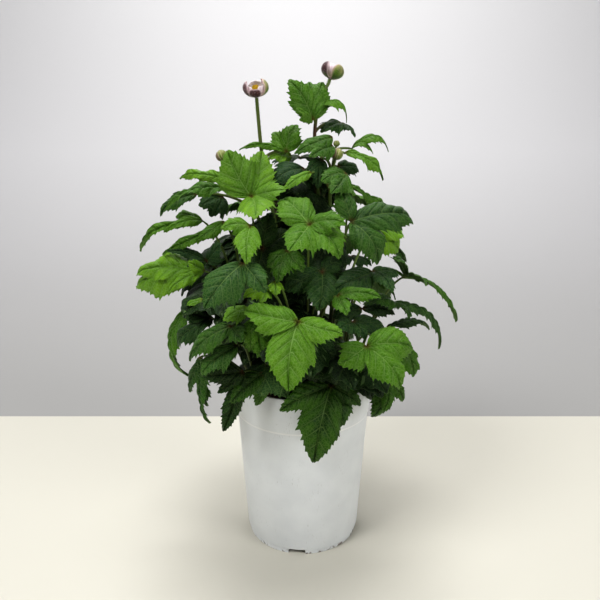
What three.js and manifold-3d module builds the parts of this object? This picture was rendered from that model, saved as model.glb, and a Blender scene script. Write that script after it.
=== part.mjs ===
// A Japanese anemone coming into bloom in a white plastic nursery pot.
// Units are millimetres. +Z is up, the viewer stands on the -Y side and the origin is under the pot.
import * as THREE from "three";
import { mergeVertices } from "three/addons/utils/BufferGeometryUtils.js";
import Module from "manifold-3d";

// Pot: a 12 cm nursery pot with a band under its lip and a notched foot ring.
const potHeight = 147;
const potTopRadius = 60;
const potFootRadius = 49.5;
const potWall = 1.6;
const bandHeight = 31;
const bandStep = 0.7;
const footStep = 0.8;
const lipRoundness = 0.5;
const footRingHeight = 4.5;
const footRingInset = 1.2;
const footRingWidth = 3;
const footNotchWidth = 15;
const footNotchHeight = 4;
const footNotchReach = 12;
const footNotchCount = 4;
// The notches stand this many degrees round from the part's axes.
const footNotchTurn = -6;
const drainHoleRadius = 4.5;
const drainHoleCount = 6;
const drainHoleCircle = 31;
const potSides = 32;
const soilSides = potSides / 2;

// Potting mix
const soilTop = 137;
const soilMound = 3;
const soilShoulder = 0.7;
const soilFall = 1;
const soilCut = 9;
const seatGap = 0.3;

// Corners closer to a straight edge or flat face than this are merged away
const mergeTolerance = 0.1;

// Crowns: the short stock that a bunch of leaf stalks grows from, and its hole in the potting mix
const crownRadius = 4.2;
const crownDepth = 14;
const crownRise = 5;
const leafStalkDepth = 3;
const crownSides = 6;

// Leaves
const bladeThickness = 0.8;
const leafStalkRadius = 1.5;
const leafStalkSides = 3;
const leafStalkSteps = 3;
const hubRadius = 0.55;
const fanStep = 0.2;
const stalkRise = 0.5;
const leafletClearance = THREE.MathUtils.degToRad(52);
const ringSpread = THREE.MathUtils.degToRad(150);
const toothDepth = 0.06;
// Leaflets slimmer than this have shallower teeth
const fullToothWidth = 0.3;
const bladeFold = 0.1;
const bladeSag = 0.5;
const widestTaper = 0.38;
const lobeStart = 0.5;
const lobeCut = 0.2;
const largeLeaflet = 47;
const smallLeaflet = 23;
const ribSweep = 0.8;
// How far a leaf turns its upper side outward, and on the viewer's side to the light, against upward
const outwardLean = 0.6;
const lightLean = 0.6;

// Flower stems and buds
const flowerStemRadius = 1.5;
const flowerStemSides = 5;
const flowerStemSteps = 13;
const sepalThickness = 0.9;
const sepalRows = 4;
const sepalColumns = 2;
const stamenShare = 0.36;
const leftBudRadius = 8.8;
const tallBudRadius = 8.7;
const budSquash = 0.72;
const shortBudRadius = 4.6;
const rightBudRadius = 4.7;
const tinyBudRadius = 2.6;

// Colours
const potWhite = 0xe9e9e4;
const soilBrown = 0x3b2a1e;
const leafGreen = 0x3f7430;
const deepGreen = 0x24502a;
const stemGreen = 0x6b7f3a;
const sepalPurple = 0x6c4550;
const sepalPink = 0xd9c3c6;
const stamenYellow = 0xd9b13a;
const budGreen = 0x98a082;

const wasm = await Module();
wasm.setup();

const vector = ([x, y, z]) => new THREE.Vector3(x, y, z);

// A closed surface as a solid, without its collapsed triangles
function solidOf(geometry) {
  const bare = new THREE.BufferGeometry();
  bare.setAttribute("position", geometry.attributes.position);
  if (geometry.index) {
    bare.setIndex(geometry.index);
  }
  const merged = mergeVertices(bare, 1e-4);
  const index = merged.index.array;
  const triangles = [];
  for (let i = 0; i < index.length; i += 3) {
    const [a, b, c] = [index[i], index[i + 1], index[i + 2]];
    if (a !== b && b !== c && a !== c) {
      triangles.push(a, b, c);
    }
  }
  return new wasm.Manifold(new wasm.Mesh({
    numProp: 3,
    vertProperties: new Float32Array(merged.attributes.position.array),
    triVerts: new Uint32Array(triangles),
  }));
}

// Pieces joined as one body: hollows sealed inside it are filled, loose scraps dropped and
// needless corners merged away
function oneBody(pieces) {
  const joined = pieces.reduce((whole, piece) => whole.add(piece)).asOriginal().simplify(mergeTolerance);
  const bodies = joined.decompose();
  bodies.sort((a, b) => b.volume() - a.volume());
  return bodies[0].asOriginal().simplify(mergeTolerance);
}

function geometryOf(solid) {
  const mesh = solid.getMesh();
  const geometry = new THREE.BufferGeometry();
  geometry.setAttribute("position", new THREE.BufferAttribute(new Float32Array(mesh.vertProperties), 3));
  geometry.setIndex(new THREE.BufferAttribute(new Uint32Array(mesh.triVerts), 1));
  geometry.computeVertexNormals();
  return geometry;
}

// The corners of two triangles for each side of a sheet between two grids of points. The triangles
// are alike on both faces. The edge at the first row is left open.
function sheetSides(top, bottom) {
  const points = [];
  const quad = (a, b, c, d) => {
    points.push(a, b, c, a, c, d);
  };
  const lastRow = top.length - 1;
  const lastColumn = top[0].length - 1;
  for (let i = 0; i < lastRow; i += 1) {
    for (let j = 0; j < lastColumn; j += 1) {
      quad(top[i][j], top[i][j + 1], top[i + 1][j + 1], top[i + 1][j]);
      quad(bottom[i][j], bottom[i + 1][j], bottom[i + 1][j + 1], bottom[i][j + 1]);
    }
    quad(bottom[i][lastColumn], bottom[i + 1][lastColumn], top[i + 1][lastColumn], top[i][lastColumn]);
    quad(bottom[i + 1][0], bottom[i][0], top[i][0], top[i + 1][0]);
  }
  for (let j = 0; j < lastColumn; j += 1) {
    quad(bottom[lastRow][j + 1], bottom[lastRow][j], top[lastRow][j], top[lastRow][j + 1]);
  }
  return points;
}

// The piece of the open edge between columns j and j + 1
const startSide = (top, bottom, j) => [
  bottom[0][j], bottom[0][j + 1], top[0][j + 1],
  bottom[0][j], top[0][j + 1], top[0][j],
];

function sheetSolid(top, bottom) {
  const points = sheetSides(top, bottom);
  for (let j = 0; j < top[0].length - 1; j += 1) {
    points.push(...startSide(top, bottom, j));
  }
  return solidOf(new THREE.BufferGeometry().setFromPoints(points));
}

// A body turned round the Z axis from its outline of [radius, height] points
function turned(outline, sides) {
  const profile = outline.map(([radius, height]) => new THREE.Vector2(radius, height));
  return solidOf(new THREE.LatheGeometry(profile, sides).rotateX(Math.PI / 2));
}

function cylinder(x, y, bottom, top, radius, sides) {
  const geometry = new THREE.CylinderGeometry(radius, radius, top - bottom, sides);
  return solidOf(geometry.rotateX(Math.PI / 2).translate(x, y, (top + bottom) / 2));
}

// A round stalk along a curve
function stalk(curve, radius, sides, steps) {
  const section = new THREE.Shape();
  for (let i = 0; i < sides; i += 1) {
    const angle = (i / sides) * 2 * Math.PI;
    const corner = [radius * Math.cos(angle), radius * Math.sin(angle)];
    if (i === 0) {
      section.moveTo(...corner);
    } else {
      section.lineTo(...corner);
    }
  }
  return solidOf(new THREE.ExtrudeGeometry(section, { steps, extrudePath: curve, curveSegments: 1 }));
}

// Half outline of a leaflet of unit length: [across, along, where its side vein leaves the rib].
// Each tooth rises from a notch, and both take their veins from one point of the rib.
function leafletRows(teeth, halfWidth) {
  const rows = [];
  const depth = toothDepth * Math.min(1, halfWidth / fullToothWidth);
  let rib = 0;
  for (let tooth = 0; tooth < teeth; tooth += 1) {
    for (const part of [0, 0.75]) {
      const share = (tooth + part) / teeth;
      const shoulder = THREE.MathUtils.clamp((share - lobeStart) / 0.06, 0, 1);
      const lobe = 1 - lobeCut * shoulder * (1 - share) ** 0.3;
      const blade = (halfWidth * share ** 0.66 * (1 - share) ** 0.9 * lobe) / widestTaper;
      const point = part ? depth * Math.sqrt(Math.sin(Math.PI * share)) : 0;
      const across = blade + 0.8 * point;
      const along = share + 0.7 * point;
      if (part === 0) {
        rib = Math.max(rib, along - ribSweep * across);
      }
      if (share > 0) {
        rows.push([across, along, rib]);
      }
    }
  }
  rows.push([0, 1, 1]);
  return rows;
}

// The rows of a toothed leaflet past its root: left edge, rib and right edge, each as [upper, lower] point
function leafletPoints(hub, tip, up, halfWidth, arch) {
  const forward = tip.clone().sub(hub);
  const length = forward.length();
  forward.normalize();
  const normal = up.clone().addScaledVector(forward, -up.dot(forward)).normalize();
  const side = new THREE.Vector3().crossVectors(forward, normal);
  const place = (across, along) => {
    const lift = 4 * arch * along * (1 - along) + bladeFold * Math.abs(across)
      - (bladeSag * across * across) / halfWidth;
    const slope = 4 * arch * (1 - 2 * along);
    const point = hub.clone()
      .addScaledVector(forward, along * length)
      .addScaledVector(side, across * length)
      .addScaledVector(normal, lift * length);
    const down = normal.clone().addScaledVector(forward, -slope).normalize();
    return [point, point.clone().addScaledVector(down, -bladeThickness)];
  };
  let teeth = length > largeLeaflet ? 3 : 2;
  if (length < smallLeaflet) {
    teeth = 1;
  }
  return leafletRows(teeth, halfWidth).map(
    ([across, along, rib]) => [place(-across, along), place(0, rib), place(across, along)],
  );
}

// Leaflets that spread from one hub as one thin blade, sorted from right to left seen from above
function fanSolid(hub, leaflets, up, arch) {
  const corner = (direction) => {
    const point = hub.clone().addScaledVector(direction, hubRadius);
    return [point, point.clone().addScaledVector(up, -bladeThickness)];
  };
  const centre = [hub, hub.clone().addScaledVector(up, -bladeThickness)];
  const first = leaflets[0];
  const last = leaflets.at(-1);
  const between = (a, b) => a.way.clone().add(b.way).normalize();
  const spread = last.turn - first.turn;
  const isRing = spread > ringSpread;
  const backCorner = corner(between(first, last).multiplyScalar(spread < Math.PI ? -1 : 1));
  const corners = [isRing ? backCorner : corner(new THREE.Vector3().crossVectors(first.way, up).normalize())];
  for (let k = 1; k < leaflets.length; k += 1) {
    corners.push(corner(between(leaflets[k - 1], leaflets[k])));
  }
  corners.push(isRing ? backCorner : corner(new THREE.Vector3().crossVectors(up, last.way).normalize()));
  const points = [];
  leaflets.forEach(({ tip, halfWidth }, k) => {
    const root = [corners[k + 1], centre, corners[k]];
    const grid = [root, ...leafletPoints(hub, tip, up, halfWidth, arch)];
    const top = grid.map((row) => row.map((pair) => pair[0]));
    const bottom = grid.map((row) => row.map((pair) => pair[1]));
    points.push(...sheetSides(top, bottom));
    if (k === leaflets.length - 1 && !isRing) {
      points.push(...startSide(top, bottom, 0));
    }
    if (k === 0 && !isRing) {
      points.push(...startSide(top, bottom, 1));
    }
  });
  return solidOf(new THREE.BufferGeometry().setFromPoints(points));
}

// A leaf's leaflets in as few fans as keep neighbours in a fan clear of each other
function leafletFans(hub, leaflets, up) {
  const flat = (tip) => {
    const way = tip.clone().sub(hub);
    return way.addScaledVector(up, -way.dot(up)).normalize();
  };
  const middle = flat(leaflets[0].tip);
  const spread = leaflets.map(({ tip, halfWidth }) => {
    const way = flat(tip);
    const turn = Math.atan2(new THREE.Vector3().crossVectors(middle, way).dot(up), middle.dot(way));
    return { tip, halfWidth, way, turn };
  });
  spread.sort((a, b) => a.turn - b.turn);
  const fans = [];
  for (const leaflet of spread) {
    const fan = fans.find((group) => leaflet.turn - group.at(-1).turn > leafletClearance);
    if (fan) {
      fan.push(leaflet);
    } else {
      fans.push([leaflet]);
    }
  }
  return fans;
}

// The way that a leaf's upper side faces: up, outward and square to its leaflets
function leafUp(hub, tips) {
  const outward = new THREE.Vector3(hub.x, hub.y, 0).normalize();
  const lean = new THREE.Vector3(0, 0, 1).addScaledVector(outward, outwardLean);
  if (hub.y < 0) {
    lean.y -= lightLean;
  }
  lean.normalize();
  const sum = new THREE.Vector3();
  for (let i = 0; i < tips.length; i += 1) {
    for (let j = i + 1; j < tips.length; j += 1) {
      const cross = tips[i].clone().sub(hub).cross(tips[j].clone().sub(hub)).normalize();
      sum.addScaledVector(cross, cross.dot(lean) < 0 ? -1 : 1);
    }
  }
  if (sum.length() > 0) {
    sum.normalize();
  }
  return sum.addScaledVector(lean, 0.8).normalize();
}

// Bunches that grow from crowns in the potting mix: name, place of the crown, colour
const tufts = [
  ["front_leaves", [-2, -33], leafGreen],
  ["front_rim_leaves", [14, -42], deepGreen],
  ["left_rim_leaves", [-22, -38], deepGreen],
  ["left_low_leaves", [-40, -20], deepGreen],
  ["left_high_leaves", [-26, -20], leafGreen],
  ["far_left_leaves", [-42, -4], leafGreen],
  ["centre_leaves", [3, -19], leafGreen],
  ["right_high_leaves", [19, -20], deepGreen],
  ["right_low_leaves", [32, -30], leafGreen],
  ["right_leaves", [42, -12], deepGreen],
  ["back_right_leaves", [34, 20], deepGreen],
  ["back_leaves", [13, 38], leafGreen],
  ["back_middle_leaves", [-13, 38], deepGreen],
  ["back_left_leaves", [-36, 18], leafGreen],
];

// Flower stems: name, points from the potting mix to the bud
const flowerStems = [
  [
    "left_flower_stem",
    [
      [-14, -6, soilTop], [-17, -18, 245], [-25, -26, 298], [-30.5, -32, 330], [-33, -37, 361],
      [-33.5, -41, 372],
    ],
  ],
  [
    "tall_flower_stem",
    [
      [4, -4, soilTop], [11, -10, 240], [12, -11, 300], [9, -8, 350], [14, -3, 376], [19.5, -0.5, 385.5],
      [20.5, 0, 388.5],
    ],
  ],
  [
    "short_flower_stem",
    [[-20, 8, soilTop], [-29, -8, 262], [-43, -16, 298], [-54, -20, 317], [-59.8, -22, 327.4]],
  ],
  [
    "right_flower_stem",
    [[16, 10, soilTop], [19, -12, 250], [21, -20, 300], [21, -22, 318], [24, -24.5, 328.3]],
  ],
];
// A side shoot of the right stem ends in the smallest bud
const sideShoot = [[21, -20, 300], [23, -12, 324], [26, -8, 340.5]];

// Leaves of the viewer's side: bunch, end of the leaf stalk, tips of the leaflets (the middle one first),
// half width of a leaflet against its length, rise of its back against its length,
// and for some the way that the upper side faces. A fourth number of a tip is its own half width.
const leaves = [
  ["front_leaves", [-4, -104, 224],
   [[-10, -122, 181, 0.34], [27, -106, 217, 0.28], [-41, -98, 231, 0.28]], 0.33, 0.05],
  ["front_leaves", [-3, -66, 196], [[10, -82, 172], [28, -70, 190]], 0.38, 0.08],
  ["front_leaves", [-25, -78, 240], [[-42, -86, 237], [-29, -92, 235]], 0.32, 0.06],
  ["front_leaves", [-20, -76, 246], [[-19, -88, 239]], 0.38, 0.06],
  ["front_leaves", [-35, -84, 221], [[-37, -94, 202], [-27, -92, 193]], 0.31, 0.08],
  ["front_rim_leaves", [21, -66, 162],
   [[8, -84, 106, 0.255], [44, -72, 149, 0.255], [-18, -76, 146, 0.2]], 0.27, 0.1],
  ["front_rim_leaves", [23, -60, 154], [[28, -74, 131]], 0.38, 0.1],
  ["left_rim_leaves", [-28, -54, 176], [[-12, -62, 151, 0.44], [-35, -66, 152, 0.36]], 0.4, 0.1],
  ["left_rim_leaves", [-45, -70, 175],
   [[-74, -78, 174, 0.26], [-64, -76, 160, 0.2], [-62, -70, 125, 0.12]], 0.26, 0.06],
  ["left_rim_leaves", [-31, -60, 170], [[-54, -78, 153], [-36, -64, 144]], 0.24, 0.07],
  ["left_low_leaves", [-51, -84, 215], [[-83, -88, 191], [-42, -100, 209, 0.36]], 0.24, 0.09],
  ["left_low_leaves", [-48, -78, 199], [[-73, -92, 182]], 0.26, 0.08],
  ["left_low_leaves", [-71, -46, 209],
   [[-102, -40, 186], [-96, -30, 209], [-79, -66, 202]], 0.24, 0.12, [-0.3, -0.6, 0.7]],
  ["left_low_leaves", [-94, -14, 211], [[-103, -8, 145, 0.205]], 0.2, 0.18, [-1, -0.5, 0.1]],
  ["left_low_leaves", [-80, -50, 180],
   [[-78, -58, 125, 0.08], [-77, -52, 138, 0.2], [-93, -44, 147, 0.15]], 0.2, 0.06],
  ["left_low_leaves", [-74, -60, 228], [[-87, -62, 225]], 0.28, 0.05],
  ["left_high_leaves", [-37, -76, 285],
   [[-38, -100, 264, 0.26], [-56, -84, 285, 0.3]], 0.3, 0.08, [0, -0.8, 0.6]],
  ["left_high_leaves", [-41, -92, 262], [[-66, -110, 235], [-25, -104, 245]], 0.31, 0.07],
  ["left_high_leaves", [-30, -56, 266],
   [[-37, -72, 243], [-10, -46, 277], [-46, -60, 265], [-23, -58, 292, 0.3]], 0.36, 0.07],
  ["left_high_leaves", [-39, -80, 227], [[-56, -90, 221]], 0.34, 0.07],
  ["far_left_leaves", [-76, -40, 246],
   [[-140, -14, 229, 0.2], [-136, -18, 240, 0.18], [-128, -24, 226, 0.13],
    [-105, -44, 230, 0.17], [-86, -50, 255, 0.3]],
   0.17, 0.06, [-0.2, -0.8, 0.6]],
  ["far_left_leaves", [-75, -34, 252],
   [[-105, -36, 261], [-87, -50, 251, 0.2], [-62, -44, 268, 0.34]], 0.12, 0.06, [0, -0.8, 0.6]],
  ["right_high_leaves", [47, -30, 213], [[23, -40, 209], [75, -24, 207, 0.2]], 0.26, 0.1],
  ["far_left_leaves", [-79, -20, 282],
   [[-134, -14, 258, 0.05], [-107, -34, 276, 0.15], [-103, 0, 282, 0.13]], 0.15, 0.26, [0, -0.8, 0.6]],
  ["far_left_leaves", [-60, -34, 283],
   [[-112, -30, 258, 0.07], [-81, -40, 270, 0.2]], 0.13, 0.05, [0, -0.8, 0.6]],
  ["centre_leaves", [4, -76, 286],
   [[25, -92, 267], [-10, -100, 272], [-16, -56, 304], [28, -84, 289, 0.36]], 0.4, 0.07],
  ["centre_leaves", [24, -79, 236], [[55, -82, 235], [30, -96, 227, 0.3]], 0.2, 0.08],
  ["centre_leaves", [14, -50, 247], [[11, -80, 226], [-14, -62, 236], [30, -44, 256]], 0.36, 0.08],
  ["centre_leaves", [-11, -66, 266], [[-18, -84, 248], [0, -80, 255], [-25, -78, 256]], 0.33, 0.07],
  ["right_high_leaves", [35, -50, 285],
   [[86, -24, 282, 0.23], [56, -58, 255, 0.34], [26, -40, 309, 0.3]], 0.36, 0.2, [0.1, -0.7, 0.7]],
  ["right_high_leaves", [59, -8, 274], [[81, 0, 254, 0.42], [84, 6, 267, 0.3]], 0.42, 0.08, [0, -0.8, 0.6]],
  ["right_high_leaves", [35, -22, 310], [[70, -2, 290, 0.09], [38, -40, 303, 0.2]], 0.12, 0],
  ["right_high_leaves", [53, -40, 245], [[77, -26, 241], [65, -66, 235], [22, -70, 239]], 0.24, 0.1],
  ["right_leaves", [85, 0, 233],
   [[140, 26, 187, 0.07], [76, -16, 252, 0.33], [100, -20, 231, 0.28], [58, -6, 240, 0.2]],
   0.13, 0.13, [0.57, 0.02, 0.8]],
  ["right_leaves", [72, -20, 215],
   [[119, -6, 173, 0.1], [84, -40, 209, 0.34], [48, -44, 221, 0.3]], 0.3, 0.19, [0.55, -0.1, 0.8]],
  ["right_leaves", [73, 10, 185], [[118, 40, 175]], 0.11, 0.16],
  ["right_low_leaves", [45, -84, 200],
   [[70, -96, 173, 0.36], [82, -72, 195, 0.34], [25, -98, 192]], 0.42, 0.1],
  ["right_low_leaves", [79, -50, 189], [[86, -58, 166]], 0.36, 0.12],
  ["right_low_leaves", [66, -56, 161],
   [[54, -60, 132, 0.24], [80, -52, 142, 0.2], [62, -66, 141, 0.24]], 0.28, 0.1],
  ["right_low_leaves", [37, -60, 211], [[46, -74, 203], [24, -76, 209], [63, -52, 205]], 0.33, 0.08],
  ["left_flower_stem", [-38, -50, 303],
   [[-33, -80, 293, 0.42], [-14, -62, 310], [-54, -54, 336, 0.4], [-31, -38, 336, 0.32]],
   0.34, 0.05, [0, -0.85, 0.5]],
  ["left_flower_stem", [-13, -28, 334],
   [[-5, -24, 355, 0.38], [-23, -20, 350, 0.3], [-47, -38, 337, 0.07]], 0.25, 0.1, [0, -0.8, 0.6]],
  ["left_flower_stem", [-9, -20, 331], [[-26, -34, 330], [-28, -22, 339, 0.2]], 0.24, 0.08],
  ["short_flower_stem", [-49, -25, 304], [[-104, -40, 297]], 0.1, 0.19, [0, -0.6, 0.8]],
  ["short_flower_stem", [-82, -24, 303],
   [[-111, -30, 288], [-104, -6, 300, 0.16]], 0.18, 0.1, [0, -0.8, 0.6]],
  ["short_flower_stem", [-63, -18, 301], [[-80, -26, 294], [-72, -26, 286]], 0.44, 0.08],
  ["short_flower_stem", [-59, -10, 312], [[-103, 12, 314], [-95, 24, 317]], 0.09, 0.08, [0, -0.8, 0.6]],
  ["tall_flower_stem", [7, -14, 358],
   [[-11, -16, 387, 0.3], [-4, -30, 366, 0.2], [15, 2, 388, 0.27], [4, -8, 387, 0.28], [-2, -24, 358, 0.3]],
   0.28, 0.05, [-0.1, -0.85, 0.5]],
  ["tall_flower_stem", [11, -6, 368], [[35, -4, 358, 0.24]], 0.2, 0.38, [0.3, -0.45, 0.85]],
  ["tall_flower_stem", [30, 10, 357], [[14, -8, 350], [42, 4, 346]], 0.32, 0.1],
  ["tall_flower_stem", [39, 6, 337],
   [[70, 10, 337, 0.17], [56, 0, 333, 0.18]], 0.17, 0.36, [0.1, -0.5, 0.85]],
  ["tall_flower_stem", [22, -24, 345], [[-6, -38, 335]], 0.22, 0.12],
  ["right_flower_stem", [32, -14, 334], [[64, -10, 313, 0.15]], 0.15, 0.18],
  ["right_flower_stem", [27, -4, 323], [[46, 8, 321], [37, -8, 311, 0.16]], 0.33, 0.1],
  ["tall_flower_stem", [22, -26, 339], [[5, -44, 332]], 0.28, 0.1],
  ["right_flower_stem", [1, -30, 322], [[-22, -45, 314]], 0.38, 0.1],
  ["right_flower_stem", [6, -44, 320], [[-15, -60, 308]], 0.14, 0.08],
  ["right_flower_stem", [32, -36, 319], [[13, -50, 314], [20, -54, 306]], 0.33, 0.08],
  ["right_flower_stem", [14, -30, 329], [[11, -44, 309], [3, -40, 322]], 0.28, 0.08],
  ["right_high_leaves", [40, 6, 249], [[58, 2, 243], [29, -4, 246]], 0.4, 0.1],
  ["right_flower_stem", [-2, -6, 330], [[-25, -2, 326], [13, -2, 330]], 0.55, 0.1],
];

// The far side repeats one plan round its quarter circles: bunch and the way that it faces, in degrees
const farBunches = [
  ["back_right_leaves", 34],
  ["back_leaves", 72],
  ["back_middle_leaves", 109],
  ["back_left_leaves", 147],
];
// Height of the stalk's end, its reach, turn within the bunch, leaflet length, dip of the leaflet in degrees
const farLevels = [
  [176, 74, -8, 44, 56],
  [214, 84, 8, 46, 40],
  [254, 74, -8, 42, 34],
  [296, 52, 6, 34, 20],
];
const farSideTurn = 66;
const farSideShare = 0.75;
const farHalfWidth = 0.34;
const farArch = 0.09;

function farLeaves() {
  const placed = [];
  farBunches.forEach(([bunch, facing], k) => {
    farLevels.forEach(([height, reach, turn, length, dip], level) => {
      // A fixed unevenness keeps the bunches from matching
      const uneven = Math.sin(12.9 * k + 7.3 * level);
      const heading = THREE.MathUtils.degToRad(facing + turn + 3 * uneven);
      const hub = [reach * Math.cos(heading), reach * Math.sin(heading), height + 6 * uneven];
      const tips = [0, farSideTurn, -farSideTurn].map((spread) => {
        const size = length * (spread ? farSideShare : 1);
        const way = heading + THREE.MathUtils.degToRad(spread);
        const fall = THREE.MathUtils.degToRad(dip * (spread ? 0.7 : 1));
        return [
          hub[0] + size * Math.cos(fall) * Math.cos(way),
          hub[1] + size * Math.cos(fall) * Math.sin(way),
          hub[2] - size * Math.sin(fall),
        ];
      });
      placed.push([bunch, hub, tips, farHalfWidth, farArch]);
    });
  });
  return placed;
}

// A leaf's stalk rises from its bunch's stock and leans out to the leaflets
function leafSolids(start, [, hubPoint, tipPoints, halfWidth, arch, facing]) {
  const hub = vector(hubPoint);
  const tips = tipPoints.map(vector);
  const leaflets = tips.map((tip, k) => ({ tip, halfWidth: tipPoints[k][3] ?? halfWidth }));
  const up = facing ? vector(facing).normalize() : leafUp(hub, tips);
  const bend = start.clone().lerp(hub, 0.4);
  bend.z = start.z + (hub.z - start.z) * 0.85 + 4;
  const end = hub.clone().addScaledVector(up, stalkRise);
  const curve = new THREE.QuadraticBezierCurve3(start, bend, end);
  const solids = [stalk(curve, leafStalkRadius, leafStalkSides, leafStalkSteps)];
  leafletFans(hub, leaflets, up).forEach((fan, layer) => {
    const root = hub.clone().addScaledVector(up, -fanStep * layer);
    solids.push(fanSolid(root, fan, up, arch));
  });
  return solids;
}

const allLeaves = [...leaves, ...farLeaves()];

function tuftSolid(name, [x, y]) {
  const crown = cylinder(x, y, soilTop - crownDepth, soilTop + crownRise, crownRadius, crownSides);
  const start = new THREE.Vector3(x, y, soilTop + crownRise - leafStalkDepth);
  const solids = allLeaves.filter((leaf) => leaf[0] === name).flatMap((leaf) => leafSolids(start, leaf));
  return oneBody([crown, ...solids]);
}

function flowerStemSolid(name, points) {
  const base = vector(points[0]);
  base.z -= crownDepth;
  const curve = new THREE.CatmullRomCurve3([base, ...points.map(vector)], false, "centripetal");
  const stem = stalk(curve, flowerStemRadius, flowerStemSides, flowerStemSteps);
  const samples = curve.getPoints(200);
  const solids = allLeaves.filter((leaf) => leaf[0] === name).flatMap((leaf) => {
    const hub = vector(leaf[1]);
    const reach = Math.min(...samples.map((point) => Math.hypot(point.x - hub.x, point.y - hub.y)));
    const height = Math.min(hub.z - 0.6 * reach, points.at(-1)[2] - 8);
    const start = samples.find((point) => point.z >= height);
    return leafSolids(start, leaf);
  });
  if (name === "right_flower_stem") {
    const shoot = new THREE.CatmullRomCurve3(sideShoot.map(vector));
    const bud = closedBud(tinyBudRadius, 2).translate(sideShoot.at(-1));
    solids.push(stalk(shoot, leafStalkRadius, leafStalkSides, leafStalkSteps), bud);
  }
  return oneBody([stem, ...solids]);
}

function potSolid() {
  const wallAt = (height) => potFootRadius + ((potTopRadius - potFootRadius) * height) / potHeight;
  const ringLine = potHeight - bandHeight;
  const floorTop = footRingHeight + potWall;
  const footOuter = potFootRadius - footRingInset;
  const outline = [
    [0, footRingHeight],
    [footOuter - footRingWidth, footRingHeight],
    [footOuter - footRingWidth, 0],
    [footOuter, 0],
    [footOuter, footRingHeight],
    [wallAt(footRingHeight), footRingHeight + footStep],
    [wallAt(ringLine) - bandStep, ringLine - bandStep],
    [wallAt(ringLine), ringLine],
    [wallAt(potHeight), potHeight - lipRoundness],
    [wallAt(potHeight) - lipRoundness, potHeight],
    [wallAt(potHeight) - potWall, potHeight],
    [wallAt(ringLine) - bandStep - potWall, ringLine],
    [wallAt(floorTop) - potWall, floorTop],
    [0, floorTop],
  ];
  let pot = turned(outline, potSides);
  for (let i = 0; i < footNotchCount; i += 1) {
    const notch = new THREE.BoxGeometry(footNotchWidth, footNotchReach, 2 * footNotchHeight);
    notch.translate(0, -footOuter, 0).rotateZ(((footNotchTurn + (i / footNotchCount) * 360) * Math.PI) / 180);
    pot = pot.subtract(solidOf(notch));
  }
  for (let i = 0; i < drainHoleCount; i += 1) {
    const angle = ((i + 0.5) / drainHoleCount) * 2 * Math.PI;
    const x = drainHoleCircle * Math.cos(angle);
    const y = drainHoleCircle * Math.sin(angle);
    pot = pot.subtract(cylinder(x, y, 0, 2 * floorTop, drainHoleRadius, 8));
  }
  return pot;
}

function soilSolid() {
  const innerAt = (height) => {
    const outer = potFootRadius + ((potTopRadius - potFootRadius) * height) / potHeight;
    return outer - potWall - bandStep - seatGap;
  };
  const bottom = footRingHeight + potWall + seatGap;
  const outline = [
    [0, bottom],
    [innerAt(bottom), bottom],
    [innerAt(soilTop), soilTop - soilMound],
    [soilShoulder * innerAt(soilTop), soilTop - soilFall],
    [0, soilTop],
  ];
  let soil = turned(outline, soilSides);
  const top = soilTop + soilCut;
  for (const [, [x, y]] of tufts) {
    const bottomOfHole = soilTop - crownDepth - seatGap;
    soil = soil.subtract(cylinder(x, y, bottomOfHole, top, crownRadius + seatGap, crownSides));
  }
  for (const [, [[x, y]]] of flowerStems) {
    const radius = flowerStemRadius + 2 * seatGap;
    soil = soil.subtract(cylinder(x, y, soilTop - crownDepth - 2 * seatGap, top, radius, 6));
  }
  return soil;
}

// One cupped sepal: a strip of a ball that widens and narrows again on its way up from the bud's foot
function sepal(radius, heading, halfTurn, opening) {
  const footAngle = 0.95 * Math.PI;
  const outer = [];
  const inner = [];
  for (let i = 0; i <= sepalRows; i += 1) {
    const share = i / sepalRows;
    const polar = footAngle + (opening - footAngle) * share;
    const reach = halfTurn * Math.sin(Math.PI * (0.15 + 0.76 * share)) ** 0.5;
    const outerRow = [];
    const innerRow = [];
    for (let j = 0; j <= sepalColumns; j += 1) {
      const turn = heading + reach * (1 - (2 * j) / sepalColumns);
      const across = Math.sin(polar);
      const way = new THREE.Vector3(across * Math.cos(turn), across * Math.sin(turn), Math.cos(polar));
      outerRow.push(way.clone().multiplyScalar(radius));
      innerRow.push(way.clone().multiplyScalar(radius - sepalThickness));
    }
    outer.push(outerRow);
    inner.push(innerRow);
  }
  return sheetSolid(inner, outer);
}

// A whorl of sepals held together by a flat foot
function whorl(radius, sepals, footHeight) {
  const foot = 0.08 * radius;
  const solids = [cylinder(0, 0, footHeight - foot, footHeight + foot, 0.3 * radius, 8)];
  for (const [heading, opening, halfTurn] of sepals) {
    solids.push(sepal(radius, THREE.MathUtils.degToRad(heading), halfTurn, opening));
  }
  return oneBody(solids);
}

// The knob of stamens inside an opening bud
function stamenKnob(radius) {
  const geometry = new THREE.SphereGeometry(radius, 14, 6).rotateX(Math.PI / 2);
  const position = geometry.attributes.position;
  const point = new THREE.Vector3();
  for (let i = 0; i < position.count; i += 1) {
    point.fromBufferAttribute(position, i);
    const turn = Math.atan2(point.y, point.x);
    const bump = point.z > 0 ? 1 + 0.12 * Math.cos(7 * turn) * Math.sin((4 * point.z) / radius) : 1;
    position.setXYZ(i, point.x * bump, point.y * bump, point.z * bump);
  }
  return solidOf(geometry);
}

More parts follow.
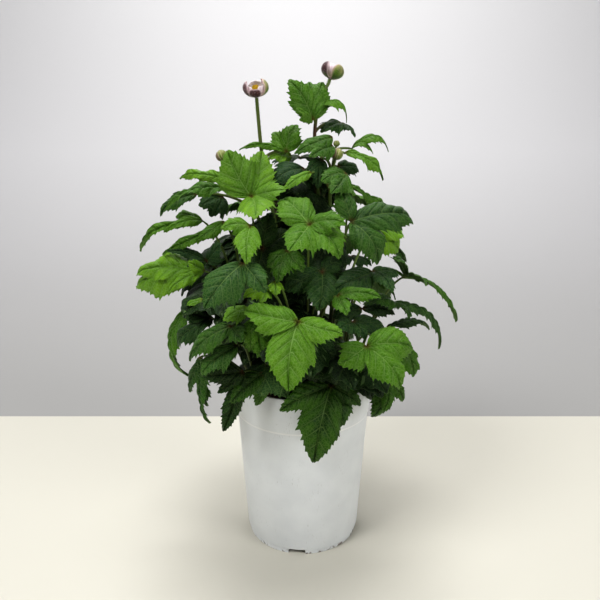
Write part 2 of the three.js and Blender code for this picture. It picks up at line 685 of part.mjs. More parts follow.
// A closed bud: a ball with the seams of its sepals, a little narrower at the top
function closedBud(radius, seams) {
  const geometry = new THREE.SphereGeometry(radius, 4 * seams, 6).rotateX(Math.PI / 2);
  const position = geometry.attributes.position;
  const point = new THREE.Vector3();
  for (let i = 0; i < position.count; i += 1) {
    point.fromBufferAttribute(position, i);
    const turn = Math.atan2(point.y, point.x);
    const seam = 1 - 0.05 * (1 + Math.cos(seams * turn)) * (1 - (point.z / radius) ** 2);
    const taper = 1 - 0.1 * (point.z / radius);
    position.setXYZ(i, point.x * seam * taper, point.y * seam * taper, point.z);
  }
  return solidOf(geometry);
}

// A group whose +Z runs along the end of a flower stem, with its origin a seat gap past the stem
function stemTip(points) {
  const end = vector(points.at(-1));
  const way = end.clone().sub(vector(points.at(-2))).normalize();
  const group = new THREE.Group();
  group.position.copy(end.addScaledVector(way, seatGap));
  group.quaternion.setFromUnitVectors(new THREE.Vector3(0, 0, 1), way);
  return group;
}

const plant = new THREE.Group();

function addMesh(parent, name, solid, color, roughness) {
  const material = new THREE.MeshStandardMaterial({ color, roughness, metalness: 0 });
  const mesh = new THREE.Mesh(geometryOf(solid), material);
  mesh.name = name;
  parent.add(mesh);
}

addMesh(plant, "pot", potSolid(), potWhite, 0.5);
addMesh(plant, "potting_mix", soilSolid(), soilBrown, 0.95);
for (const [name, crown, color] of tufts) {
  addMesh(plant, name, tuftSolid(name, crown), color, 0.6);
}
for (const [name, points] of flowerStems) {
  addMesh(plant, name, flowerStemSolid(name, points), stemGreen, 0.6);
}

// The two opening buds, each with outer sepals, paler inner ones and a knob of stamens: name, stem, radius,
// then the outer and the inner sepals. A sepal's numbers are its heading in degrees, how far its tip stays
// from the bud's axis and half the turn that it covers.
const openBuds = [
  [
    "left", flowerStems[0][1], leftBudRadius,
    [[188, 0.85, 0.85], [12, 0.6, 0.95], [268, 1.4, 0.62]],
    [[225, 1.15, 0.6], [312, 1.1, 0.6], [95, 0.85, 1]],
  ],
  [
    "tall", flowerStems[1][1], tallBudRadius,
    [[195, 0.72, 0.85], [325, 0.78, 1], [80, 0.7, 0.95]],
    [[252, 0.8, 0.8], [140, 0.75, 0.9], [20, 0.7, 0.9]],
  ],
];
for (const [name, points, radius, outerSepals, innerSepals] of openBuds) {
  const tip = stemTip(points);
  const innerRadius = radius - sepalThickness - 4 * seatGap;
  const cup = new THREE.Group();
  cup.position.z = 1.09 * radius * budSquash;
  cup.scale.z = budSquash;
  tip.add(cup);
  addMesh(cup, `${name}_bud_outer_sepals`, whorl(radius, outerSepals, -radius), sepalPurple, 0.6);
  const innerFoot = -innerRadius + sepalThickness;
  addMesh(cup, `${name}_bud_inner_sepals`, whorl(innerRadius, innerSepals, innerFoot), sepalPink, 0.6);
  const knob = new THREE.Group();
  knob.position.z = innerFoot + (0.12 + stamenShare) * radius + seatGap;
  cup.add(knob);
  addMesh(knob, `${name}_bud_stamens`, stamenKnob(stamenShare * radius), stamenYellow, 0.8);
  plant.add(tip);
}

// The closed buds, each seated on the end of its stem
const closedBuds = [
  ["short_stem_bud", flowerStems[2][1], shortBudRadius],
  ["right_stem_bud", flowerStems[3][1], rightBudRadius],
];
for (const [name, points, radius] of closedBuds) {
  const tip = stemTip(points);
  const seat = new THREE.Group();
  seat.position.z = radius;
  tip.add(seat);
  addMesh(seat, name, closedBud(radius, 3), budGreen, 0.7);
  plant.add(tip);
}

export default plant;
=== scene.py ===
import math

import bpy
import numpy as np
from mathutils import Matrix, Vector


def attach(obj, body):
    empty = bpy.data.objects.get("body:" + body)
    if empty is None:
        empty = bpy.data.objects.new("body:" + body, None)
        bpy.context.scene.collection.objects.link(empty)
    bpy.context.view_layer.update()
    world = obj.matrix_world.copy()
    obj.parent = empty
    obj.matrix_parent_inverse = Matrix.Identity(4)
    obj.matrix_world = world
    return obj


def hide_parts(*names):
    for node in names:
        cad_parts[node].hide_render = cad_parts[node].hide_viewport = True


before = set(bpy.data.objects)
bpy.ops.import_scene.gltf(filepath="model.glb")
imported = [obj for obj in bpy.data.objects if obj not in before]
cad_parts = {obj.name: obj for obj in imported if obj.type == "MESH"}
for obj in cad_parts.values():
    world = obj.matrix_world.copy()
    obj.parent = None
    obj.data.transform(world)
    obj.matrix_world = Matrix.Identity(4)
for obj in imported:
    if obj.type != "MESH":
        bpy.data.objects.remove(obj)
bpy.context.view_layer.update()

MM = 0.001
FULL_TURN = 2 * math.pi
# Steps that spread things evenly round a circle and over a range, however many there are
GOLDEN_TURN = math.pi * (3 - math.sqrt(5))
GOLDEN_SHARE = 0.618
# Random draws start from this seed and follow the order in which the pieces are made
SEED = 26

# Pot: a 12 cm nursery pot with a band under its lip and a notched foot ring
POT_HEIGHT = 147
POT_TOP_RADIUS = 60
POT_FOOT_RADIUS = 49.5
POT_WALL = 1.6
POT_SIDES = 160
POT_SHARP_ANGLE = 25
BAND_HEIGHT = 31
BAND_STEP = 0.7
LIP_ROUNDNESS = 0.5
EDGE_ROUNDNESS = 0.3
# The wall is straight from its start to the band, but for a shallow hollow at its waist
WALL_START = 7
WALL_WAIST = 60
WAIST_HOLLOW = 0.3
FOOT_RING_HEIGHT = 4.5
FOOT_RING_INSET = 1.2
FOOT_RING_WIDTH = 3
FOOT_NOTCH_WIDTH = 15
FOOT_NOTCH_HEIGHT = 4
FOOT_NOTCH_SLOPE = 0.8
FOOT_NOTCH_COUNT = 4
# The notches stand this many degrees round from the frame's axes
FOOT_NOTCH_TURN = -6
DRAIN_HOLE_RADIUS = 4.5
DRAIN_HOLE_COUNT = 6
DRAIN_HOLE_CIRCLE = 31

# Potting mix, and the stocks that stand in it
SOIL_TOP = 137
SOIL_MOUND = 3
SOIL_FOOT = 6.5
SOIL_RINGS = 46
SOIL_SIDES = 120
CRUMB_COUNT = 520
CROWN_RISE = 5
CROWN_DEPTH = 6
CROWN_RADIUS = 4.2
CROWN_RINGS = 10
CROWN_SIDES = 12

# Leaves
BLADE_THICKNESS = 0.35
LEAF_STALK_RADIUS = 1.0
LEAF_STALK_RINGS = 15
# Leaflets of one leaf lie in thin layers, so that neighbours don't cross at the hub
LEAFLET_LAYER = 0.12
# How far a leaf turns outward, and on the viewer's side towards the light
OUTWARD_LEAN = 0.6
LIGHT_LEAN = 0.6
# Fine and coarse leaves: tooth spacing, tooth depth, rows of corners to a tooth, columns to a half and sides
# of the stalk. Coarse rows miss the tips of the teeth, so those teeth are drawn deeper.
FINE = {"spacing": 3.0, "depth": 2.0, "rows": 4, "columns": 6, "sides": 8}
COARSE = {"spacing": 6.0, "depth": 3.2, "rows": 2, "columns": 2, "sides": 4}
FEWEST_TEETH = 4
MOST_TEETH = 15
TOOTH_TIP = 3 / 4
# Every other tooth ends a main vein and is the larger one
LARGE_TOOTH = 1.15
SMALL_TOOTH = 0.65
# Leaflets narrower than this half width have smaller teeth
FULL_TOOTH_WIDTH = 9
# Teeth and side veins of the left half are set off from the right half's by this share of a tooth
LEFT_SHIFT = 1 / 2
RIB_SWEEP = 1.2
RIB_RISE = 0.9
BLADE_FILL = 0.93
WIDEST_TAPER = 0.38
# Shares of a leaflet's length: its first and last row, its side lobe's notch, how far the blade swells
# between main veins, how far the rib sinks, and where the tip begins to curl
LEAFLET_ENDS = (0.004, 0.994)
LOBE_NOTCH = 0.07
QUILTING = 0.03
RIB_SINK = 0.02
CURL_START = 0.7
# Ranges that each leaflet, or each half of it, draws its own shape from
LOBE_END = (0.48, 0.62)
LOBE_REACH = (0.08, 0.34)
TOOTH_SIZE = (0.7, 1.3)
TONE_SHIFT = (-0.05, 0.05)
# A leaflet's extra arch, fold, twist, tip curl, ruffle, count of waves and sideways bend
LEAFLET_RANGES = (
    (0, 0.03), (0.05, 0.34), (-0.25, 0.25), (0.2, 1.5), (0.02, 0.06), (1.2, 2.6), (-0.07, 0.07),
)

# Leaves inside the plant, which the photograph shows only as dark depth: their number, lowest hub, range of
# heights and reach, and the heights where they start to branch from the flower stems, where the upper piece
# begins, where the plant narrows and where leaves get small
INNER_LEAF_COUNT = 300
INNER_LOWEST = 148
INNER_RANGE = 174
INNER_REACH = 86
INNER_BRANCHING = 190
INNER_SPLIT = 240
INNER_NARROWING = 250
INNER_SMALL = 280

# Flower stems and buds
FLOWER_STEM_RADIUS = 1.5
FLOWER_STEM_ROOT = 14
FLOWER_STEM_SIDES = 12
FLOWER_STEM_RINGS = 70
SHOOT_RINGS = 20
SHOOT_SIDES = 10
# Points along a stem among which a leaf finds the place where it branches
STEM_SAMPLES = 200
CORE_SAMPLES = 120
# Spread of a stem's red-brown part, and how far the down reaches below its bud
RED_BAND = 14
DOWNY_LENGTH = 45
STEM_HAIR_COUNT = 420
SEPAL_HAIR_COUNT = 160
HAIR_TIP = 0.012
SEAT_GAP = 0.3
BUD_SQUASH = 0.72
SEPAL_THICKNESS = 0.45
SEPAL_ROWS = 26
SEPAL_COLUMNS = 21
INNER_WHORL_INSET = 1.8
CLOSED_BUD_HAIR_COUNT = 60
ANTHER_COUNT = 90
KNOB_RINGS = 12
KNOB_SIDES = 16
# Shares of a bud's radius: the knob in its middle and the threads of the anthers
KNOB = 0.24
THREAD = 0.13
# Radii of the five buds
LEFT_BUD_RADIUS = 8.8
TALL_BUD_RADIUS = 8.7
SHORT_BUD_RADIUS = 4.6
RIGHT_BUD_RADIUS = 4.7
TINY_BUD_RADIUS = 2.6

# Floor, in metres: back edge of its cream part, where the painted shade on the grey beyond has faded to its
# palest, the front edge, the start and radius of the sweep up to the wall, the wall's top and half the width
CREAM_EDGE = 0.222
PALEST_GREY = 2.2
FLOOR_FRONT = -6.0
SWEEP_START = 1.1
SWEEP_RADIUS = 2.1
SWEEP_STEPS = 48
WALL_TOP = 5.0
FLOOR_HALF_WIDTH = 7.0

# Camera, fitted to the pot's top and foot ellipses in the photograph
CAMERA_PLACE = (-2.5, -492, 339)
CAMERA_PITCH = 14.43
CAMERA_LENS = 36
CAMERA_SENSOR = 36

# Lamps, in metres and watts: name, place, what it points at, width and power
LAMPS = [
    ["window_light", (-0.9, -0.9, 1.5), (0, 0, 0.2), 0.8, 16],
    ["side_light", (1.3, -1.1, 0.9), (0, 0, 0.2), 1.0, 10.5],
    ["top_light", (0.0, 0.0, 2.2), (0, 0, 0.2), 1.0, 20],
    ["wall_light", (0.0, 1.6, 3.6), (0, 3.2, 2.3), 1.5, 89],
]

# Bunches that grow from crowns in the potting mix: name, place of the crown, slot
TUFTS = [
    ["front_leaves", [-2, -33], "leaf_green"],
    ["front_rim_leaves", [14, -42], "leaf_deep_green"],
    ["left_rim_leaves", [-22, -38], "leaf_deep_green"],
    ["left_low_leaves", [-40, -20], "leaf_deep_green"],
    ["left_high_leaves", [-26, -20], "leaf_green"],
    ["far_left_leaves", [-42, -4], "leaf_green"],
    ["centre_leaves", [3, -19], "leaf_green"],
    ["right_high_leaves", [19, -20], "leaf_deep_green"],
    ["right_low_leaves", [32, -30], "leaf_green"],
    ["right_leaves", [42, -12], "leaf_deep_green"],
    ["back_right_leaves", [34, 20], "leaf_deep_green"],
    ["back_leaves", [13, 38], "leaf_green"],
    ["back_middle_leaves", [-13, 38], "leaf_deep_green"],
    ["back_left_leaves", [-36, 18], "leaf_green"],
]

# Flower stems: name, points from the potting mix to the bud, and the height and strength of a red-brown part
FLOWER_STEMS = [
    ["left_flower_stem",
     [[-14, -6, 137], [-17, -18, 245], [-25, -26, 298], [-30.5, -32, 330], [-33, -37, 361],
      [-33.5, -41, 372]],
     [350, 0.2]],
    ["tall_flower_stem",
     [[4, -4, 137], [11, -10, 240], [12, -11, 300], [9, -8, 350], [14, -3, 376], [19.5, -0.5, 385.5],
      [20.5, 0, 388.5]],
     [346, 0.9]],
    ["short_flower_stem",
     [[-20, 8, 137], [-29, -8, 262], [-43, -16, 298], [-54, -20, 317], [-59.8, -22, 327.4]],
     [300, 0.2]],
    ["right_flower_stem",
     [[16, 10, 137], [19, -12, 250], [21, -20, 300], [21, -22, 318], [24, -24.5, 328.3]],
     [240, 0.4]],
]
# A side shoot of the right stem ends in the smallest bud
SIDE_SHOOT = [[21, -20, 300], [23, -12, 324], [26, -8, 340.5]]

# Leaves of the viewer's side, bunch by bunch: end of the leaf stalk, tips of the leaflets (the middle one
# first), half width of a leaflet against its length, rise of its back against its length, tone from dark (0)
# to lime (1), share of blue-grey, and for some the way that the upper side faces. A fourth number of a tip is
# its own half width.
LEAVES = {
    "front_leaves": [
        [[-4, -104, 224], [[-10, -122, 181, 0.34], [27, -106, 217, 0.28], [-41, -98, 231, 0.28]],
         0.33, 0.05, 0.72, 0],
        [[-3, -66, 196], [[10, -82, 172], [28, -70, 190]], 0.38, 0.08, 0.05, 0],
        [[-25, -78, 240], [[-42, -86, 237], [-29, -92, 235]], 0.32, 0.06, 0.9, 0],
        [[-20, -76, 246], [[-19, -88, 239]], 0.38, 0.06, 0.9, 0],
        [[-35, -84, 221], [[-37, -94, 202], [-27, -92, 193]], 0.31, 0.08, 0.55, 0],
    ],
    "front_rim_leaves": [
        [[21, -66, 162], [[8, -84, 106, 0.255], [44, -72, 149, 0.255], [-18, -76, 146, 0.2]],
         0.27, 0.1, 0.32, 0],
        [[23, -60, 154], [[28, -74, 131]], 0.38, 0.1, 0.3, 0.2],
    ],
    "left_rim_leaves": [
        [[-28, -54, 176], [[-12, -62, 151, 0.44], [-35, -66, 152, 0.36]], 0.4, 0.1, 0.6, 0.8],
        [[-45, -70, 175], [[-74, -78, 174, 0.26], [-64, -76, 160, 0.2], [-62, -70, 125, 0.12]],
         0.26, 0.06, 0.15, 0.1],
        [[-31, -60, 170], [[-54, -78, 153], [-36, -64, 144]], 0.24, 0.07, 0.4, 0.1],
    ],
    "left_low_leaves": [
        [[-51, -84, 215], [[-83, -88, 191], [-42, -100, 209, 0.36]], 0.24, 0.09, 0.4, 0.15],
        [[-48, -78, 199], [[-73, -92, 182]], 0.26, 0.08, 0.5, 0.5],
        [[-71, -46, 209], [[-102, -40, 186], [-96, -30, 209], [-79, -66, 202]],
         0.24, 0.12, 0.28, 0.35, [-0.3, -0.6, 0.7]],
        [[-94, -14, 211], [[-103, -8, 145, 0.205]], 0.2, 0.18, 0.52, 0, [-1, -0.5, 0.1]],
        [[-80, -50, 180], [[-78, -58, 125, 0.08], [-77, -52, 138, 0.2], [-93, -44, 147, 0.15]],
         0.2, 0.06, 0.35, 0.3],
        [[-74, -60, 228], [[-87, -62, 225]], 0.28, 0.05, 0.75, 0],
    ],
    "left_high_leaves": [
        [[-37, -76, 285], [[-38, -100, 264, 0.26], [-56, -84, 285, 0.3]], 0.3, 0.08, 0.72, 0, [0, -0.8, 0.6]],
        [[-41, -92, 262], [[-66, -110, 235], [-25, -104, 245]], 0.31, 0.07, 0.42, 0.5],
        [[-30, -56, 266], [[-37, -72, 243], [-10, -46, 277], [-46, -60, 265], [-23, -58, 292, 0.3]],
         0.36, 0.07, 0.2, 0.1],
        [[-39, -80, 227], [[-56, -90, 221]], 0.34, 0.07, 0.7, 0],
    ],
    "far_left_leaves": [
        [[-76, -40, 246],
         [[-140, -14, 229, 0.2], [-136, -18, 240, 0.18], [-128, -24, 226, 0.13], [-105, -44, 230, 0.17],
          [-86, -50, 255, 0.3]], 0.17, 0.06, 0.84, 0, [-0.2, -0.8, 0.6]],
        [[-75, -34, 252], [[-105, -36, 261], [-87, -50, 251, 0.2], [-62, -44, 268, 0.34]],
         0.12, 0.06, 0.15, 0.5, [0, -0.8, 0.6]],
        [[-79, -20, 282], [[-134, -14, 258, 0.05], [-107, -34, 276, 0.15], [-103, 0, 282, 0.13]],
         0.15, 0.26, 0.6, 0, [0, -0.8, 0.6]],
        [[-60, -34, 283], [[-112, -30, 258, 0.07], [-81, -40, 270, 0.2]],
         0.13, 0.05, 0.55, 0.1, [0, -0.8, 0.6]],
    ],
    "centre_leaves": [
        [[4, -76, 286], [[25, -92, 267], [-10, -100, 272], [-16, -56, 304], [28, -84, 289, 0.36]],
         0.4, 0.07, 0.57, 0],
        [[24, -79, 236], [[55, -82, 235], [30, -96, 227, 0.3]], 0.2, 0.08, 0.5, 0],
        [[14, -50, 247], [[11, -80, 226], [-14, -62, 236], [30, -44, 256]], 0.36, 0.08, 0.3, 0.3],
        [[-11, -66, 266], [[-18, -84, 248], [0, -80, 255], [-25, -78, 256]], 0.33, 0.07, 0.45, 0],
    ],
    "right_high_leaves": [
        [[47, -30, 213], [[23, -40, 209], [75, -24, 207, 0.2]], 0.26, 0.1, 0.15, 0.3],
        [[35, -50, 285], [[86, -24, 282, 0.23], [56, -58, 255, 0.34], [26, -40, 309, 0.3]],
         0.36, 0.2, 0.4, 0.3, [0.1, -0.7, 0.7]],
        [[59, -8, 274], [[81, 0, 254, 0.42], [84, 6, 267, 0.3]], 0.42, 0.08, 0.85, 0, [0, -0.8, 0.6]],
        [[35, -22, 310], [[70, -2, 290, 0.09], [38, -40, 303, 0.2]], 0.12, 0, 0.55, 0.1],
        [[53, -40, 245], [[77, -26, 241], [65, -66, 235], [22, -70, 239]], 0.24, 0.1, 0.3, 0.45],
        [[40, 6, 249], [[58, 2, 243], [29, -4, 246]], 0.4, 0.1, 0.06, 0.3],
    ],
    "right_leaves": [
        [[85, 0, 233],
         [[140, 26, 187, 0.07], [76, -16, 252, 0.33], [100, -20, 231, 0.28], [58, -6, 240, 0.2]],
         0.13, 0.13, 0.45, 0.2, [0.57, 0.02, 0.8]],
        [[72, -20, 215], [[119, -6, 173, 0.1], [84, -40, 209, 0.34], [48, -44, 221, 0.3]],
         0.3, 0.19, 0.35, 0.2, [0.55, -0.1, 0.8]],
        [[73, 10, 185], [[118, 40, 175]], 0.11, 0.16, 0.12, 0.2],
    ],
    "right_low_leaves": [
        [[45, -84, 200], [[70, -96, 173, 0.36], [82, -72, 195, 0.34], [25, -98, 192]], 0.42, 0.1, 0.62, 0],
        [[79, -50, 189], [[86, -58, 166]], 0.36, 0.12, 0.4, 0],
        [[66, -56, 161], [[54, -60, 132, 0.24], [80, -52, 142, 0.2], [62, -66, 141, 0.24]],
         0.28, 0.1, 0.4, 0],
        [[37, -60, 211], [[46, -74, 203], [24, -76, 209], [63, -52, 205]], 0.33, 0.08, 0.3, 0.5],
    ],
    "left_flower_stem": [
        [[-38, -50, 303],
         [[-33, -80, 293, 0.42], [-14, -62, 310], [-54, -54, 336, 0.4], [-31, -38, 336, 0.32]],
         0.34, 0.05, 0.78, 0.1, [0, -0.85, 0.5]],
        [[-13, -28, 334], [[-5, -24, 355, 0.38], [-23, -20, 350, 0.3], [-47, -38, 337, 0.07]],
         0.25, 0.1, 0.6, 0, [0, -0.8, 0.6]],
        [[-9, -20, 331], [[-26, -34, 330], [-28, -22, 339, 0.2]], 0.24, 0.08, 0.85, 0],
    ],
    "short_flower_stem": [
        [[-49, -25, 304], [[-104, -40, 297]], 0.1, 0.19, 0.5, 0.2, [0, -0.6, 0.8]],
        [[-82, -24, 303], [[-111, -30, 288], [-104, -6, 300, 0.16]], 0.18, 0.1, 0.4, 0.3, [0, -0.8, 0.6]],
        [[-63, -18, 301], [[-80, -26, 294], [-72, -26, 286]], 0.44, 0.08, 0.2, 0.5],
        [[-59, -10, 312], [[-103, 12, 314], [-95, 24, 317]], 0.09, 0.08, 0.75, 0, [0, -0.8, 0.6]],
    ],
    "tall_flower_stem": [
        [[7, -14, 358],
         [[-11, -16, 387, 0.3], [-4, -30, 366, 0.2], [15, 2, 388, 0.27], [4, -8, 387, 0.28],
          [-2, -24, 358, 0.3]],
         0.28, 0.05, 0.6, 0.1, [-0.1, -0.85, 0.5]],
        [[11, -6, 368], [[35, -4, 358, 0.24]], 0.2, 0.38, 0.62, 0, [0.3, -0.45, 0.85]],
        [[30, 10, 357], [[14, -8, 350], [42, 4, 346]], 0.32, 0.1, 0.3, 0.3],
        [[39, 6, 337], [[70, 10, 337, 0.17], [56, 0, 333, 0.18]], 0.17, 0.36, 0.65, 0.1, [0.1, -0.5, 0.85]],
        [[22, -24, 345], [[-6, -38, 335]], 0.22, 0.12, 0.5, 0.15],
        [[22, -26, 339], [[5, -44, 332]], 0.28, 0.1, 0.45, 0.2],
    ],
    "right_flower_stem": [
        [[32, -14, 334], [[64, -10, 313, 0.15]], 0.15, 0.18, 0.72, 0],
        [[27, -4, 323], [[46, 8, 321], [37, -8, 311, 0.16]], 0.33, 0.1, 0.25, 0.45],
        [[1, -30, 322], [[-22, -45, 314]], 0.38, 0.1, 0.08, 0.6],
        [[6, -44, 320], [[-15, -60, 308]], 0.14, 0.08, 0.75, 0],
        [[32, -36, 319], [[13, -50, 314], [20, -54, 306]], 0.33, 0.08, 0.5, 0.2],
        [[14, -30, 329], [[11, -44, 309], [3, -40, 322]], 0.28, 0.08, 0.2, 0.4],
        [[-2, -6, 330], [[-25, -2, 326], [13, -2, 330]], 0.55, 0.1, 0.08, 0.3],
    ],
}

# The far side repeats one plan in four bunches: bunch and the way that it faces, in degrees
FAR_BUNCHES = [
    ["back_right_leaves", 34],
    ["back_leaves", 72],
    ["back_middle_leaves", 109],
    ["back_left_leaves", 147],
]
# Height of the stalk's end, its reach, turn within the bunch, leaflet length, dip of the leaflet in degrees
FAR_LEVELS = [
    [176, 74, -8, 44, 56],
    [214, 84, 8, 46, 40],
    [254, 74, -8, 42, 34],
    [296, 52, 6, 34, 20],
]
# Side leaflets: turn in degrees, and length and dip against the middle one's
FAR_SIDE_TURN = 66
FAR_SIDE_SHARE = 0.75
FAR_SIDE_DIP = 0.7
FAR_HALF_WIDTH = 0.34
FAR_ARCH = 0.09

# Values painted on the corners of a piece, which its materials read
PAINTS = ("across", "vein", "tone", "blue", "underside", "blush")


# Geometry helpers
def unit(vector):
    """The same way at length 1."""
    return vector / np.linalg.norm(vector)


class Surface:
    """Corners, faces and painted values of one piece, gathered before its mesh is made."""

    def __init__(self):
        self.corners = []
        self.count = 0
        self.faces = []
        self.paints = {name: [] for name in PAINTS}

    def add(self, corners, faces, material=0, **paints):
        """faces is a list of index arrays, each of one size of face."""
        corners = np.asarray(corners, float).reshape(-1, 3)
        for group in faces:
            self.faces.append((np.asarray(group) + self.count, material))
        self.corners.append(corners)
        self.count += len(corners)
        for name in PAINTS:
            value = np.asarray(paints.get(name, 0.0), float).ravel()
            self.paints[name].append(np.broadcast_to(value, (len(corners),)))


def put_in_scene(name, data):
    """An object in the scene that shows a mesh, a lamp or a camera."""
    holder = bpy.data.objects.new(name, data)
    bpy.context.scene.collection.objects.link(holder)
    return holder


def make_piece(name, surface, materials, nodes=(), sharp=50):
    """A mesh object that rides on the plant's body and stands for its nodes of model.glb, which it hides."""
    mesh = bpy.data.meshes.new(name)
    corners = np.concatenate(surface.corners) * MM
    loops = np.concatenate([group.ravel() for group, _ in surface.faces])
    totals = np.concatenate([np.full(len(group), group.shape[1]) for group, _ in surface.faces])
    kinds = np.concatenate([np.full(len(group), material) for group, material in surface.faces])
    mesh.vertices.add(len(corners))
    mesh.vertices.foreach_set("co", corners.ravel())
    mesh.loops.add(len(loops))
    mesh.loops.foreach_set("vertex_index", loops.astype(np.int32))
    mesh.polygons.add(len(totals))
    mesh.polygons.foreach_set("loop_start", (np.cumsum(totals) - totals).astype(np.int32))
    for material in materials:
        mesh.materials.append(material)
    mesh.polygons.foreach_set("material_index", kinds.astype(np.int32))
    mesh.update(calc_edges=True)
    mesh.validate()
    mesh.shade_smooth()
    mesh.set_sharp_from_angle(angle=math.radians(sharp))
    for paint, values in surface.paints.items():
        layer = mesh.attributes.new(paint, "FLOAT", "POINT")
        layer.data.foreach_set("value", np.concatenate(values).astype(np.float32))
    piece = put_in_scene(name, mesh)
    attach(piece, "root")
    if nodes:
        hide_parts(*nodes)
    return piece


def grid_faces(rows, columns, start=0, flipped=False, closed=False):
    """Quads between the corners of a grid, counted row by row. A closed grid joins its last column to its
    first."""
    spans = columns if closed else columns - 1
    row, column = np.meshgrid(np.arange(rows - 1), np.arange(spans), indexing="ij")
    next_column = (column + 1) % columns
    a = row * columns + column
    b = row * columns + next_column
    c = (row + 1) * columns + next_column
    d = (row + 1) * columns + column
    order = [d, c, b, a] if flipped else [a, b, c, d]
    return np.stack(order, axis=-1).reshape(-1, 4) + start


def shell(upper, lower):
    """Corners and faces of a thin closed sheet between two grids of points, with the upper one facing out."""
    rows, columns = upper.shape[:2]
    count = rows * columns
    number = np.arange(count).reshape(rows, columns)
    rim = np.concatenate([number[0, :-1], number[:-1, -1], number[-1, :0:-1], number[:0:-1, 0]])
    after = np.roll(rim, -1)
    walls = np.stack([rim, rim + count, after + count, after], axis=-1)
    faces = [grid_faces(rows, columns), grid_faces(rows, columns, count, flipped=True), walls]
    return np.concatenate([upper.reshape(-1, 3), lower.reshape(-1, 3)]), faces


def capped(rings):
    """Corners and faces of a closed body through rings of points, all of one count."""
    sides = len(rings[0])
    first = np.arange(sides)[::-1]
    last = np.arange(sides) + (len(rings) - 1) * sides
    return np.concatenate(rings), [grid_faces(len(rings), sides, closed=True), first[None, :], last[None, :]]


def ring_turns(sides):
    """Angles of evenly spaced points round a circle, in radians."""
    return np.linspace(0, FULL_TURN, sides, endpoint=False)


def tube(points, radii, sides):
    """Corners and faces of a round rod along points, closed at both ends."""
    points = np.asarray(points, float)
    ways = np.gradient(points, axis=0)
    ways /= np.linalg.norm(ways, axis=1, keepdims=True)
    # Any side will do to start from, as long as no rod runs along it
    side = unit(np.cross(ways[0], [0.31, 0.95, 0.05]))
    turns = ring_turns(sides)
    rings = []
    for point, way, radius in zip(points, ways, radii):
        side = unit(side - way * np.dot(side, way))
        other = np.cross(way, side)
        rings.append(point + radius * (np.outer(np.cos(turns), side) + np.outer(np.sin(turns), other)))
    return capped(rings)


def turned(outline, sides):
    """Corners and faces of a body turned round the Z axis, from an outline of (radius, height)."""
    turns = ring_turns(sides)
    return capped([
        np.column_stack([radius * np.cos(turns), radius * np.sin(turns), np.full(sides, height)])
        for radius, height in outline
    ])


def smooth_curve(points, count):
    """Points evenly counted along a centripetal Catmull-Rom curve through the given ones."""
    knots = np.asarray(points, float)
    padded = np.vstack([2 * knots[0] - knots[1], knots, 2 * knots[-1] - knots[-2]])
    made = []
    for place in np.linspace(0, len(knots) - 1, count):
        first = min(int(place), len(knots) - 2)
        share = place - first
        p0, p1, p2, p3 = padded[first:first + 4]
        d0, d1, d2 = (np.sqrt(np.linalg.norm(b - a)) for a, b in ((p0, p1), (p1, p2), (p2, p3)))
        slope1 = ((p1 - p0) / d0 - (p2 - p0) / (d0 + d1) + (p2 - p1) / d1) * d1
        slope2 = ((p2 - p1) / d1 - (p3 - p1) / (d1 + d2) + (p3 - p2) / d2) * d1
        square = share * share
        cube = square * share
        made.append(
            p1 + slope1 * share
            + (3 * (p2 - p1) - 2 * slope1 - slope2) * square
            + (2 * (p1 - p2) + slope1 + slope2) * cube
        )
    return np.array(made)


# Materials
def linear(code):
    """A colour socket's value from an sRGB hex code."""
    channels = [int(code[i:i + 2], 16) / 255 for i in (1, 3, 5)]
    return [c / 12.92 if c <= 0.04045 else ((c + 0.055) / 1.055) ** 2.4 for c in channels] + [1.0]


def scale_of(width):
    """The scale of a pattern whose marks are this many millimetres wide."""
    return 1 / (width * MM)


def add_node(tree, kind, inputs=None, settings=None, stops=(), out=0):
    """Adds a node with links, values or hex colours for its inputs, with its settings and with a ramp's stops
    in order, and gives the socket that it sends on."""
    node = tree.nodes.new("ShaderNode" + kind)
    for name, value in (settings or {}).items():
        setattr(node, name, value)
    for socket, value in (inputs or {}).items():
        if isinstance(value, bpy.types.NodeSocket):
            tree.links.new(value, node.inputs[socket])
        else:
            node.inputs[socket].default_value = linear(value) if isinstance(value, str) else value
    if stops:
        ramp = node.color_ramp.elements
        ramp.remove(ramp[1])
        for number, (place, code) in enumerate(stops):
            stop = ramp.new(place) if number else ramp[0]
            stop.position = place
            stop.color = linear(code)
    return node.outputs[out] if node.outputs else None


# Settings and sockets that many nodes share: sums, a mix of two colours, and a range mapped to another
ADD = {"operation": "ADD"}
MULTIPLY = {"operation": "MULTIPLY"}
MULTIPLY_ADD = {"operation": "MULTIPLY_ADD"}
GREATEST = {"operation": "MAXIMUM"}
COLOURS = {"data_type": "RGBA"}
FACTOR = 0
COLOUR_A = 6
COLOUR_B = 7
MIXED = 2
EASED = {"interpolation_type": "SMOOTHSTEP"}
LOW = 1
HIGH = 2
AT_LOW = 3
AT_HIGH = 4


def new_material(name):
    """A material with an empty node tree."""
    material = bpy.data.materials.new(name)
    material.use_nodes = True
    material.node_tree.nodes.clear()
    return material, material.node_tree


